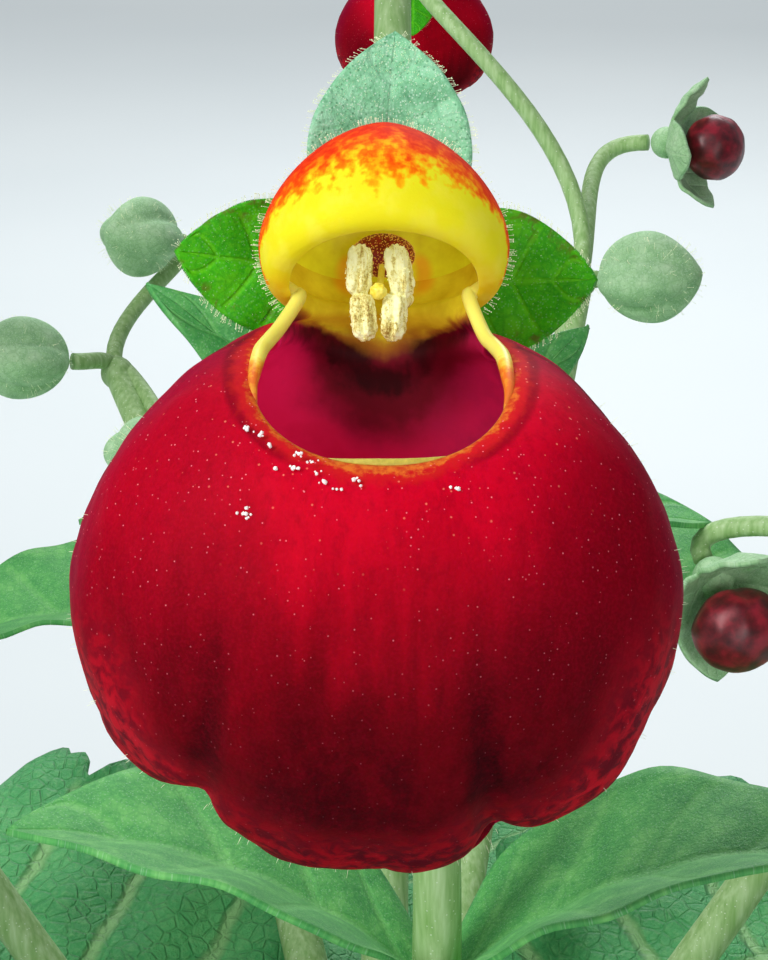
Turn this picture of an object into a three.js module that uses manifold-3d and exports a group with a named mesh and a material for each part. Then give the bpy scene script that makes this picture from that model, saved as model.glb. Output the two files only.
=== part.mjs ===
// A potted pocketbook plant (Calceolaria): a clay pot of soil, and one plant with wrinkled, toothed leaves
// and branching stems that carry pouch-shaped flowers and buds.
// Millimetres, +Z up, origin at the middle of the pot's flat base. The plant's front faces -Y.
import * as THREE from "three";
import { mergeVertices } from "three/addons/utils/BufferGeometryUtils.js";
import Module from "manifold-3d";

const wasm = await Module();
wasm.setup();

const { abs, acos, atan2, cos, exp, hypot, max, min, PI, pow, round, sign, sin, sqrt, tan } = Math;
const DEGREE = PI / 180;
const vec = (x, y, z) => new THREE.Vector3(x, y, z);

// ---------------------------------------------------------------- driving dimensions

const GAP = 0.35; // between pieces that touch

const POT = {
  height: 86,
  rimRadius: 50,
  rimHeight: 17,
  rimStep: 3, // how far the rim stands out of the wall
  baseRadius: 33,
  wall: 4,
  floor: 5,
  lip: 1.2, // the bevel round the rim's top
  drainRadius: 4,
  drainCircle: 17,
  drains: 3,
  sides: 36,
};

// The rings of its top are shares of its radius.
const SOIL = { level: 75, ripple: 1.1, sides: 28, rings: [1, 0.8, 0.55, 0.3] };

// The short woody foot of the plant, which stands in a hole in the soil.
const CROWN = { radius: 5.5, top: 93, bottom: 55, sides: 14 };

// Both lips of a flower are bags: an egg-shaped body with a rounded mouth in it. Sizes are of a full-size
// flower, from its throat at the origin, with its face towards -Y. `up` and `down` are a bag's height above
// and below its centre and its roundness there: 2 is an ellipse, less is slimmer and more is fuller. A mouth's
// front, side and back are the angles from its middle to its edge, and its front and back also say how square
// their corners are. A notch's angle is counted from the top of the flower to its right.
const POUCH = {
  centre: vec(-0.4, -5, -14.3),
  halfWidth: 14.65,
  up: [13.6, 1.88],
  down: [13.5, 2.12],
  front: 9.5,
  back: 8,
  seam: 1.2, // 1 is a round edge, and more is a sharper one
  fullness: 0.9,
  wall: 0.7,
  neck: { way: vec(0, 0.44, 0.9), rise: 3.1, spread: 0.42 },
  notches: [
    { angle: -139.6, depth: 0.12, width: 5.5 },
    { angle: 152, depth: 0.095, width: 5 },
    { angle: -150, depth: 0.022, width: 8 },
    { angle: 178, depth: 0.02, width: 4 },
    { angle: -113, depth: 0.015, width: 4 },
    { angle: 114, depth: 0.015, width: 4 },
  ],
  mouth: { way: vec(0.025, -0.26, 0.96), front: [49.4, 2.3], side: 27.5, back: [53, 5.2], roll: 1.1 },
};

const HOOD = {
  centre: vec(0, -2.6, 2.5),
  halfWidth: 6.15,
  up: [6, 1.7],
  down: [5.4, 2],
  front: 5.4,
  back: 4.6,
  seam: 1,
  fullness: 0.95,
  wall: 0.7,
  notches: [],
  mouth: { way: vec(0, -0.63, -0.78), front: [54, 1], side: 61, back: [78, 1], roll: 1 },
};

// The two straps that run from the hood's lower corners to the pouch's mouth.
const STRAP = { radius: 0.34, route: [vec(3.9, -2, -0.3), vec(3.85, -3, -0.95), vec(4.25, -4.1, -2.3)] };

// Sepals stand round the receptacle. A turn is counted from the top of the flower to its right.
const SEPAL = { thickness: 0.6, seat: vec(0, 4.7, 1.2), receptacle: 2.2, root: 1.3, fold: 8 };
const SEPALS = [
  { turn: 2.5, length: 13.1, halfWidth: 4.25, lean: -2, bow: 0.04 },
  { turn: 89.5, length: 11, halfWidth: 3.8, lean: 5, bow: -0.05 },
  { turn: -81.5, length: 10.9, halfWidth: 3.5, lean: 5, bow: -0.05 },
  { turn: 180, length: 12, halfWidth: 4, lean: -14, bow: 0.02 },
];

// The pollen sacs of each stamen: the middle of each, half its length, and its lean in degrees.
const STAMEN = { sacRadius: 0.62, filament: 0.35, root: vec(1.15, -1, 0) };
const STAMENS = {
  left: [
    { at: vec(-1.22, -4, 1.15), half: 1.25, lean: 3 },
    { at: vec(-1.02, -4.1, -1.1), half: 1.15, lean: -6 },
  ],
  right: [
    { at: vec(0.72, -4, 1.1), half: 1.3, lean: -12 },
    { at: vec(0.46, -4.1, -1.1), half: 1.15, lean: 4 },
  ],
};
const PISTIL = {
  at: vec(-0.05, -0.35, 2.2),
  size: vec(1.6, 1.15, 1.1),
  style: 0.17,
  stigma: 0.4,
  tip: vec(-0.27, -4.6, 0.1),
};

// Columns and rows of each bag's skin, in the full-size front flower and in the others.
const GRID = { fine: { pouch: [28, 14], hood: [18, 8] }, plain: { pouch: [12, 6], hood: [10, 4] } };

// Every flower: its throat, the way it faces (yaw from the plant's front to its right, pitch upwards, in
// degrees), its size, and the stem that it hangs on. The fine one also has its stamens, pistil and straps.
const FLOWERS = [
  { name: "hero", at: vec(0, -38, 185), yaw: 0, pitch: 20, size: 1, stem: "front", fine: true },
  { name: "front_left", at: vec(-50, -26, 166), yaw: -55, pitch: 10, size: 0.95, stem: "left" },
  { name: "front_right", at: vec(48, -22, 174), yaw: 50, pitch: 12, size: 0.97, stem: "right" },
  { name: "back_left", at: vec(-51, 34, 184), yaw: -130, pitch: 10, size: 0.92, stem: "left" },
  { name: "back_right", at: vec(51, 38, 178), yaw: 135, pitch: 8, size: 0.95, stem: "right" },
  { name: "top", at: vec(-3, 12, 221), yaw: 8, pitch: 10, size: 0.85, stem: "centre" },
  { name: "rear", at: vec(2.6, 74, 184), yaw: 180, pitch: 5, size: 0.5, stem: "back_right" },
];

// Buds in the same way. An open one shows its young pouch between its sepals.
const bud = (name, at, yaw, pitch, size, open, stem) => ({ name, at, yaw, pitch, size, open, stem });
const BUDS = [
  bud("bud_right_high", vec(28, 67, 169.5), 65, 5, 0.8, true, "back_right"),
  bud("bud_right_middle", vec(22.5, 49, 162), 60, 10, 0.9, false, "back_right"),
  bud("bud_right_low", vec(24.5, 7, 149.5), 20, -25, 0.85, true, "right"),
  bud("bud_left_high", vec(-22.5, 70, 160), -40, 15, 0.85, false, "back_left"),
  bud("bud_left_middle", vec(-32, 55, 153), -70, 10, 0.85, false, "back_left"),
  bud("bud_left_low", vec(-21, 47, 147), -20, 0, 0.7, false, "back_left"),
];
const BUD = {
  radius: 4,
  length: 5.2,
  ridge: 0.1,
  receptacle: 1.8,
  sepal: { root: 1.1, length: 9, halfWidth: 3.3, lean: 36 },
  pouch: { at: vec(0, -2.2, -0.5), size: vec(3.9, 3.4, 3.7) },
};

// Flowering stems, from the crown to the fork that carries the flowers. A bract is a small leaf on a stem:
// the point it grows from, its tip and, unless it faces up, the way that it faces.
const STEM = { foot: 1.9, fork: 1.2, stalk: 0.75, sides: 6, stalkSides: 5 };
const STEMS = {
  front: {
    route: [vec(1, -7.4, 86), vec(2.4, -14, 108), vec(3.1, -25, 134), vec(3, -27.5, 152), vec(2, -23, 168)],
    bracts: [
      { from: vec(2, -23, 167), to: vec(-13.4, -21.6, 181.2), halfWidth: 2.5, face: vec(0.3, -1, 0.7) },
      { from: vec(2, -23, 167), to: vec(11.6, -21.8, 178.8), halfWidth: 2.5, face: vec(-0.3, -1, 0.7) },
      { from: vec(3.1, -26, 138), to: vec(28, -30, 150), halfWidth: 8.5 },
      { from: vec(3.1, -26, 138), to: vec(-22, -28, 150), halfWidth: 8.5 },
    ],
  },
  left: {
    route: [vec(-7.4, -1, 87), vec(-14, -2, 108), vec(-26, -3, 130), vec(-38, -2, 150)],
    bracts: [
      { from: vec(-37, -2, 148), to: vec(-50, -24, 142), halfWidth: 7 },
      { from: vec(-37, -2, 148), to: vec(-46, 22, 146), halfWidth: 7 },
    ],
  },
  right: {
    route: [vec(7.4, 1, 87), vec(14, 2, 108), vec(26, 2, 130), vec(38, 2, 150)],
    bracts: [
      { from: vec(37, 2, 148), to: vec(52, -20, 144), halfWidth: 7 },
      { from: vec(37, 2, 148), to: vec(49, 24, 143), halfWidth: 7 },
    ],
  },
  back_right: {
    route: [vec(2.6, 6.9, 87), vec(4, 12, 106), vec(8, 25, 128), vec(13, 42, 146), vec(17, 55, 160)],
    bracts: [
      { from: vec(11, 35, 139), to: vec(34, 30, 137), halfWidth: 9 },
      { from: vec(11, 35, 139), to: vec(10, 64, 139), halfWidth: 8 },
    ],
  },
  back_left: {
    route: [vec(-2.6, 6.9, 87), vec(-4, 12, 106), vec(-10, 27, 126), vec(-17, 45, 140), vec(-24, 60, 150)],
    bracts: [
      { from: vec(-14, 38, 134.5), to: vec(-38, 34, 134), halfWidth: 9 },
      { from: vec(-14, 38, 134.5), to: vec(-8, 62, 131), halfWidth: 8 },
    ],
  },
  centre: {
    route: [vec(0, 0, 93.35), vec(0, 2, 120), vec(0.4, 8, 150), vec(0.6, 18, 180), vec(0.6, 24, 200)],
    bracts: [
      { from: vec(0.4, 8, 149), to: vec(24, 14, 153), halfWidth: 7 },
      { from: vec(0.4, 8, 149), to: vec(-22, 12, 154), halfWidth: 7 },
    ],
  },
};

// Large leaves in two tiers round the crown: their bearing, the height they leave it at, their length and
// half width, and the angles that they rise by and bend down by.
const LEAF = {
  thickness: 0.8,
  stalk: 0.2, // the share of its length that is stalk
  stalkHalfWidth: 1.6,
  stalkThickness: 2.4,
  fold: 16,
  teeth: 6,
  toothDepth: 0.11,
  relief: 0.45,
  ripple: 1.5,
  columns: 4,
  rows: 15,
};
const LEAVES = [
  ...[0, 1, 2, 3, 4, 5].map((n) => ({
    name: `leaf_low_${n + 1}`,
    bearing: 30 + 60 * n,
    height: 80 + (n % 2),
    length: 80 - 3 * (n % 2),
    halfWidth: 24 - (n % 3),
    rise: n % 2 ? 54 : 41,
    bend: 84,
  })),
  ...[0, 1, 2, 3].map((n) => ({
    name: `leaf_high_${n + 1}`,
    bearing: [38, 142, 218, 322][n],
    height: 86.5 + 2 * (n % 2),
    length: 64 + 2 * (n % 2),
    halfWidth: 20,
    rise: 62,
    bend: 80,
  })),
];

// ---------------------------------------------------------------- solids

// A closed sheet of even thickness, split into triangles alike on both faces. pointAt(u, v) gives its outer
// face for u and v from 0 to 1, and `inset` is the share of the thickness that lies under that face. `wrap`
// joins u = 1 to u = 0, and `pole` draws v = 1 together to one point.
function sheet(pointAt, columns, rows, thicknessAt, { wrap = false, pole = false, inset = 0.5 } = {}) {
  const across = wrap ? columns : columns + 1;
  const index = (i, j) => (pole && j === rows ? across * rows : across * j + (wrap ? i % columns : i));
  const points = [];
  const thickness = [];
  for (let j = 0; j <= rows; j++)
    for (let i = 0; i < (pole && j === rows ? 1 : across); i++) {
      points.push(pointAt(i / columns, j / rows));
      thickness.push(thicknessAt(i / columns, j / rows));
    }
  const faces = [];
  for (let j = 0; j < rows; j++)
    for (let i = 0; i < columns; i++) {
      const [a, b, c, d] = [index(i, j), index(i + 1, j), index(i + 1, j + 1), index(i, j + 1)];
      faces.push([a, c, b]);
      if (c !== d) faces.push([a, d, c]);
    }
  const normals = points.map(() => vec(0, 0, 0));
  for (const [a, b, c] of faces) {
    const normal = points[b].clone().sub(points[a]).cross(points[c].clone().sub(points[a]));
    for (const corner of [a, b, c]) normals[corner].add(normal);
  }
  const offset = (share) =>
    points.map((p, n) => p.clone().addScaledVector(normals[n].normalize(), thickness[n] * share));
  const corners = [...offset(1 - inset), ...offset(-inset)];
  const count = points.length;
  const edges = new Set(faces.flatMap(([a, b, c]) => [`${a},${b}`, `${b},${c}`, `${c},${a}`]));
  const closed = faces.flatMap(([a, b, c]) => [a, b, c, a + count, c + count, b + count]);
  for (const edge of edges) {
    const [a, b] = edge.split(",").map(Number);
    if (!edges.has(`${b},${a}`)) closed.push(b, a, a + count, b, a + count, b + count);
  }
  return meshData(corners, closed);
}

// A round rod along a curve, closed at both ends. radiusAt(t) gives its radius for t from 0 to 1.
function rod(curve, radiusAt, steps, sides) {
  const frames = curve.computeFrenetFrames(steps);
  const corners = [];
  for (let j = 0; j <= steps; j++)
    for (let i = 0; i < sides; i++) {
      const angle = (2 * PI * i) / sides;
      const radius = radiusAt(j / steps);
      corners.push(
        curve
          .getPointAt(j / steps)
          .addScaledVector(frames.normals[j], radius * cos(angle))
          .addScaledVector(frames.binormals[j], radius * sin(angle)),
      );
    }
  const [first, last] = [corners.length, corners.length + 1];
  corners.push(curve.getPointAt(0), curve.getPointAt(1));
  const faces = [];
  for (let i = 0; i < sides; i++) {
    const next = (i + 1) % sides;
    for (let j = 0; j < steps; j++) {
      const [a, b, c, d] = [j * sides + i, j * sides + next, (j + 1) * sides + next, (j + 1) * sides + i];
      faces.push(a, b, c, a, c, d);
    }
    faces.push(first, next, i, last, steps * sides + i, steps * sides + next);
  }
  return meshData(corners, faces);
}

function meshData(corners, faces) {
  return new THREE.BufferGeometry()
    .setAttribute("position", new THREE.Float32BufferAttribute(corners.flatMap((p) => [p.x, p.y, p.z]), 3))
    .setIndex(faces);
}

// A sphere stretched to three half sizes, leaned about Y in degrees, and moved.
function egg(centre, [x, y, z], [around, down], lean = 0) {
  return new THREE.SphereGeometry(1, around, down)
    .rotateX(PI / 2)
    .scale(x, y, z)
    .rotateY(lean * DEGREE)
    .translate(centre.x, centre.y, centre.z);
}

function solidOf(geometry) {
  const plain = geometry.clone();
  plain.deleteAttribute("normal");
  plain.deleteAttribute("uv");
  const merged = mergeVertices(plain, 1e-4);
  const corners = [...merged.index.array];
  const kept = corners.flatMap((a, n) => {
    const [b, c] = [corners[n + 1], corners[n + 2]];
    return n % 3 || a === b || b === c || a === c ? [] : [a, b, c];
  });
  const vertProperties = merged.attributes.position.array;
  return new wasm.Manifold(new wasm.Mesh({ numProp: 3, vertProperties, triVerts: new Uint32Array(kept) }));
}

function geometryOf(solid) {
  const mesh = solid.getMesh();
  return new THREE.BufferGeometry()
    .setAttribute("position", new THREE.BufferAttribute(mesh.vertProperties, 3))
    .setIndex(new THREE.BufferAttribute(mesh.triVerts, 1));
}

const fuse = (...pieces) => geometryOf(pieces.map(solidOf).reduce((all, next) => all.add(next)));
const cut = (body, ...tools) =>
  geometryOf(tools.map(solidOf).reduce((all, next) => all.subtract(next), solidOf(body)));

// ---------------------------------------------------------------- the flower's two bags

// The point on a bag's skin that lies in direction `way` from its centre.
function bagPoint(bag, way) {
  const turn = atan2(way.x, way.z);
  const depth = atan2(way.y, hypot(way.x, way.z));
  const [height, power] = way.z > 0 ? bag.up : bag.down;
  const shares = pow(abs(sin(turn)) / bag.halfWidth, power) + pow(abs(cos(turn)) / height, power);
  const outline = pow(shares, -1 / power);
  const notch = bag.notches.reduce((sum, n) => {
    const away = abs(((turn / DEGREE - n.angle + 540) % 360) - 180);
    return sum + n.depth * exp(-away / n.width);
  }, 0);
  const reach = outline * pow(cos(depth), bag.fullness) * (1 - notch * exp(-pow(depth / 0.4, 2)));
  const half = way.y < 0 ? bag.front : bag.back;
  const seam = 1 + (bag.seam - 1) * min(1, max(0, -3 * way.z));
  const thick = half * sign(depth) * pow(abs(sin(depth)), seam);
  const skin = vec(reach * sin(turn), thick, reach * cos(turn));
  if (bag.neck) {
    const away = acos(min(1, way.dot(bag.neck.way.clone().normalize())));
    skin.addScaledVector(way, bag.neck.rise * exp(-pow(away / bag.neck.spread, 2)));
  }
  return skin.add(bag.centre);
}

// A bag's skin from the rolled edge of its mouth (v = 0) to the point opposite (v = 1). u goes round the
// mouth from its front.
function bagSkin(bag) {
  const { mouth } = bag;
  const axis = mouth.way.clone().normalize();
  const ahead = vec(0, -1, 0).addScaledVector(axis, axis.y).normalize();
  const right = axis.clone().cross(ahead);
  const rollShare = 0.1;
  return (u, v) => {
    const around = 2 * PI * u;
    const [end, corner] = cos(around) > 0 ? mouth.front : mouth.back;
    const opening = (mouth.side + (end - mouth.side) * pow(abs(cos(around)), corner)) * DEGREE;
    const polar = opening + (PI - opening) * v;
    const way = axis
      .clone()
      .multiplyScalar(cos(polar))
      .addScaledVector(ahead, sin(polar) * cos(around))
      .addScaledVector(right, sin(polar) * sin(around));
    const curl = max(0, 1 - v / rollShare);
    return bagPoint(bag, way).addScaledVector(way, -mouth.roll * (1 - sqrt(1 - curl * curl * 0.96)));
  };
}

const bagSolid = (bag, columns, rows) =>
  sheet(bagSkin(bag), columns, rows, () => bag.wall, { wrap: true, pole: true, inset: 1 });

// ---------------------------------------------------------------- blades

// A small blade between two points: ovate, folded along its rib and bowed towards the side that it faces.
function blade(from, to, halfWidth, face, form) {
  const { fold = 14, bow = 0.1, columns = 2, rows = 5, thickness = 0.6 } = form;
  const along = to.clone().sub(from);
  const length = along.length();
  const across = along.clone().cross(face).normalize();
  const out = across.clone().cross(along).normalize();
  const widest = 0.46;
  const rootHalfWidth = min(0.22 * halfWidth, 0.95);
  const swell = (v) => pow(v, 0.75) * pow(1 - v, (0.75 * (1 - widest)) / widest);
  const half = (v) => max(rootHalfWidth * (1 - v), (halfWidth * swell(v)) / swell(widest));
  const pointAt = (u, v) => {
    const side = 2 * u - 1;
    const lift = bow * length * 4 * v * (1 - v) + abs(side) * half(v) * tan(fold * DEGREE);
    return from
      .clone()
      .lerp(to, v)
      .addScaledVector(across, side * half(v))
      .addScaledVector(out, lift);
  };
  return sheet(pointAt, columns, rows, () => thickness, { pole: true });
}

// A large leaf with its stalk: it rises, bends over and is folded, toothed and ridged along its side veins.
// It grows from the origin towards +Y.
function leaf({ length, halfWidth, rise, bend }) {
  const { stalk, stalkHalfWidth, stalkThickness, thickness, fold, teeth, toothDepth, relief, ripple } = LEAF;
  const swell = (t) => pow(t, 0.6) * pow(1 - t, 0.66);
  const bladeShare = (v) => max(0, (v - stalk) / (1 - stalk));
  const half = (v) => {
    const t = bladeShare(v);
    const tooth = 1 + toothDepth * (2 * abs(sin(PI * teeth * t)) - 1);
    return stalkHalfWidth + ((halfWidth - stalkHalfWidth) * swell(t) * tooth) / swell(0.48);
  };
  const pointAt = (u, v) => {
    const side = 1 - 2 * u;
    const t = bladeShare(v);
    const heading = (rise - bend * v) * DEGREE;
    const radius = length / (bend * DEGREE);
    const y = radius * (sin(rise * DEGREE) - sin(heading));
    const z = radius * (cos(heading) - cos(rise * DEGREE));
    const spread = min(1, 4 * t);
    const veins = relief * cos(PI * (2 * teeth * t - 1.4 * abs(side)));
    const wave = ripple * side * side * sin(6 * PI * t + 1.2 * side);
    const lift = abs(side) * half(v) * tan(fold * DEGREE) + spread * (veins + wave);
    return vec(side * half(v), y - lift * sin(heading), z + lift * cos(heading));
  };
  const thicknessAt = (u, v) => (v < stalk ? stalkThickness : thickness + (u === 0.5 ? 0.5 * (1 - v) : 0));
  return sheet(pointAt, LEAF.columns, LEAF.rows, thicknessAt);
}

// ---------------------------------------------------------------- flowers

const sepalWay = (turn, lean) => vec(sin(turn * DEGREE), -tan(lean * DEGREE), cos(turn * DEGREE)).normalize();

function calyx(fine) {
  const { seat, root, receptacle, thickness, fold } = SEPAL;
  const grid = fine ? { columns: 4, rows: 6 } : { columns: 2, rows: 3 };
  const sepals = SEPALS.map(({ turn, length, halfWidth, lean, bow }) => {
    const way = sepalWay(turn, lean);
    const from = seat.clone().addScaledVector(way, root);
    const to = seat.clone().addScaledVector(way, length);
    return blade(from, to, halfWidth, vec(0, -1, 0), { fold, bow, thickness, ...grid });
  });
  return fuse(egg(seat, [receptacle, receptacle, receptacle], fine ? [10, 6] : [6, 4]), ...sepals);
}

// A curve that sags a little between two points.
function sagging(from, to, sag = 0.3) {
  return new THREE.CatmullRomCurve3([from, from.clone().lerp(to, 0.5).add(vec(0, 0, -sag)), to]);
}

// A stamen: two pollen sacs, end to end, on a filament from the floor of the hood.
function stamen(side, sacs) {
  const { root, filament, sacRadius } = STAMEN;
  const eggs = sacs.map(({ at, half, lean }) => egg(at, [sacRadius, sacRadius, half], [8, 6], lean));
  const middle = sacs[0].at.clone().lerp(sacs[1].at, 0.5);
  return fuse(...eggs, rod(sagging(vec(side * root.x, root.y, root.z), middle), () => filament, 4, 5));
}

function pistil() {
  const { at, size, style, stigma, tip } = PISTIL;
  return fuse(
    egg(at, [size.x, size.y, size.z], [8, 6]),
    rod(sagging(at, tip), () => style, 3, 4),
    egg(tip, [stigma, stigma, stigma], [6, 5]),
  );
}

const straps = () =>
  [-1, 1].map((side) => {
    const route = new THREE.CatmullRomCurve3(STRAP.route.map((p) => vec(side * p.x, p.y, p.z)));
    return rod(route, () => STRAP.radius, 4, 6);
  });

// A group at a flower's or a bud's place, turned the way it faces.
function placedAt({ at, yaw, pitch, size }) {
  const flower = new THREE.Group();
  flower.position.copy(at);
  flower.rotation.set(-pitch * DEGREE, 0, yaw * DEGREE, "ZYX");
  flower.scale.setScalar(size);
  flower.updateMatrixWorld();
  return flower;
}

// A bud's closed calyx: four sepals grown edge to edge, with a ridge along each and a pointed tip towards -Y.
function closedCalyx() {
  const shape = new THREE.SphereGeometry(1, 8, 7);
  const points = shape.attributes.position;
  for (let n = 0; n < points.count; n++) {
    const [x, y, z] = [points.getX(n), points.getY(n), points.getZ(n)];
    const ridge = 1 + BUD.ridge * cos(4 * atan2(z, x));
    const narrow = y < 0 ? 1 - 0.35 * y * y : 1;
    points.setXYZ(n, x * BUD.radius * ridge * narrow, y * BUD.length, z * BUD.radius * ridge * narrow);
  }
  return shape;
}

// An opening bud's calyx: four sepals that lean forward round the young pouch.
function openCalyx() {
  const { receptacle, sepal } = BUD;
  const seat = vec(0, BUD.length - receptacle, 0);
  const sepals = [0, 90, 180, 270].map((turn) => {
    const way = sepalWay(turn, sepal.lean);
    const from = seat.clone().addScaledVector(way, sepal.root);
    const to = seat.clone().addScaledVector(way, sepal.length);
    return blade(from, to, sepal.halfWidth, vec(0, -1, 0), { bow: -0.14, rows: 3 });
  });
  return fuse(egg(seat, [receptacle, receptacle, receptacle], [6, 4]), ...sepals);
}

// ---------------------------------------------------------------- stems

// The stem, a stalk to the back of each flower that it carries, and its bracts.
function stem(name) {
  const { route, bracts } = STEMS[name];
  const path = new THREE.CatmullRomCurve3(route);
  const radiusAt = (t) => STEM.foot + (STEM.fork - STEM.foot) * t;
  const steps = round(path.getLength() / 12);
  const fork = route[route.length - 1];
  const upwards = path.getTangent(1);
  const stalks = [...FLOWERS, ...BUDS]
    .filter((flower) => flower.stem === name)
    .map((flower) => {
      const place = placedAt(flower);
      const isBud = "open" in flower;
      const back = isBud ? BUD.length : SEPAL.seat.y + SEPAL.receptacle;
      const seat = vec(0, back + GAP / flower.size, isBud ? 0 : SEPAL.seat.z);
      const end = place.localToWorld(seat.clone());
      const behind = place.localToWorld(seat.clone().add(vec(0, 1, 0))).sub(end).normalize();
      const reach = fork.distanceTo(end);
      const curve = new THREE.CubicBezierCurve3(
        fork,
        fork.clone().addScaledVector(upwards, 0.45 * reach),
        end.clone().addScaledVector(behind, 0.4 * reach),
        end,
      );
      return rod(curve, () => STEM.stalk, max(4, round(reach / 6)), STEM.stalkSides);
    });
  const blades = bracts.map(({ from, to, halfWidth, face = vec(0, 0, 1) }) =>
    blade(from, to, halfWidth, face, { bow: 0.1, rows: 4, fold: 18 }),
  );
  const knot = egg(fork, [1.5, 1.5, 1.5], [6, 4]);
  return fuse(rod(path, radiusAt, steps, STEM.sides), knot, ...stalks, ...blades);
}

// ---------------------------------------------------------------- pot and soil

const turned = (profile, sides) =>
  new THREE.LatheGeometry(profile.map(([x, y]) => new THREE.Vector2(x, y)), sides).rotateX(PI / 2);

const potWall = (z) => POT.baseRadius + ((POT.rimRadius - POT.rimStep - POT.baseRadius) * z) / POT.height;

function pot() {
  const { height, rimRadius, rimHeight, rimStep, baseRadius, wall, floor, lip, sides } = POT;
  const shoulder = height - rimHeight;
  const body = turned(
    [
      [0, 0],
      [baseRadius, 0],
      [potWall(shoulder), shoulder],
      [rimRadius, shoulder],
      [rimRadius, height - lip],
      [rimRadius - lip, height],
      [rimRadius - rimStep - wall, height],
      [potWall(floor) - wall, floor],
      [0, floor],
    ],
    sides,
  );
  const drains = Array.from({ length: POT.drains }, (_, n) => {
    const angle = (2 * PI * n) / POT.drains;
    return new THREE.CylinderGeometry(POT.drainRadius, POT.drainRadius, 3 * floor, 12)
      .rotateX(PI / 2)
      .translate(POT.drainCircle * cos(angle), POT.drainCircle * sin(angle), floor / 2);
  });
  return cut(body, ...drains);
}

// Soil with a rough top and a plain hole for the crown.
function soil() {
  const { floor, wall } = POT;
  const { level, rings, sides, ripple } = SOIL;
  const radiusAt = (z) => potWall(z) - wall - 2 * GAP;
  const bottom = floor + GAP;
  const top = rings.map((share) => [share * radiusAt(level), level]);
  const body = turned([[0, bottom], [radiusAt(bottom), bottom], ...top, [0, level]], sides);
  const points = body.attributes.position;
  for (let n = 0; n < points.count; n++) {
    const [x, y, z] = [points.getX(n), points.getY(n), points.getZ(n)];
    if (z < level - 1) continue;
    const rough = sin(0.31 * x + 1.3 * sin(0.23 * y)) + sin(0.37 * y + 1.1 * sin(0.29 * x));
    points.setZ(n, level + (ripple * rough) / 2);
  }
  const depth = level - CROWN.bottom + GAP;
  const hole = new THREE.CylinderGeometry(CROWN.radius + GAP, CROWN.radius + GAP, 2 * depth, CROWN.sides + 2)
    .rotateX(PI / 2)
    .translate(0, 0, level);
  return cut(body, hole);
}

function crown() {
  const { radius, top, bottom, sides } = CROWN;
  return turned(
    [
      [0, bottom],
      [0.55 * radius, bottom],
      [0.9 * radius, bottom + 8],
      [radius, top - 14],
      [0.92 * radius, top - 3],
      [0.6 * radius, top],
      [0, top],
    ],
    sides,
  );
}

// ---------------------------------------------------------------- build

const group = new THREE.Group();
const paint = (color, roughness = 0.7) => new THREE.MeshStandardMaterial({ color, roughness, metalness: 0 });
const PAINT = {
  clay: paint(0xb5683f, 0.9),
  soil: paint(0x33241a, 1),
  pouch: paint(0xb3061c, 0.5),
  hood: paint(0xf4d514, 0.5),
  leaf: paint(0x4e8f3c),
  stem: paint(0x86a86a),
  sepal: paint(0x57a03a),
  pollen: paint(0xeee3a0),
  pistil: paint(0x5a1418),
};

function add(name, geometry, material, parent = group) {
  const mesh = new THREE.Mesh(geometry, material);
  mesh.name = name;
  parent.add(mesh);
  return mesh;
}

add("pot", pot(), PAINT.clay);
add("soil", soil(), PAINT.soil);
add("crown", crown(), PAINT.stem);

for (const name of Object.keys(STEMS)) add(`stem_${name}`, stem(name), PAINT.stem);

for (const { name, bearing, height, ...shape } of LEAVES) {
  const mesh = add(name, leaf(shape), PAINT.leaf);
  const out = CROWN.radius + GAP + LEAF.stalkThickness / 2;
  mesh.position.set(out * cos(bearing * DEGREE), out * sin(bearing * DEGREE), height);
  mesh.rotation.z = bearing * DEGREE - PI / 2;
}

for (const flower of FLOWERS) {
  const { name, fine = false } = flower;
  const place = placedAt(flower);
  group.add(place);
  const grid = fine ? GRID.fine : GRID.plain;
  const hood = bagSolid(HOOD, ...grid.hood);
  add(`${name}_pouch`, bagSolid(POUCH, ...grid.pouch), PAINT.pouch, place);
  add(`${name}_calyx`, calyx(fine), PAINT.sepal, place);
  add(`${name}_hood`, fine ? fuse(hood, ...straps()) : hood, PAINT.hood, place);
  if (!fine) continue;
  add(`${name}_stamen_left`, stamen(-1, STAMENS.left), PAINT.pollen, place);
  add(`${name}_stamen_right`, stamen(1, STAMENS.right), PAINT.pollen, place);
  add(`${name}_pistil`, pistil(), PAINT.pistil, place);
}

for (const bud of BUDS) {
  const place = placedAt(bud);
  group.add(place);
  add(`${bud.name}_calyx`, bud.open ? openCalyx() : closedCalyx(), PAINT.sepal, place);
  const { at, size } = BUD.pouch;
  if (bud.open) add(`${bud.name}_pouch`, egg(at, [size.x, size.y, size.z], [10, 7]), PAINT.pouch, place);
}

export default group;
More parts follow.
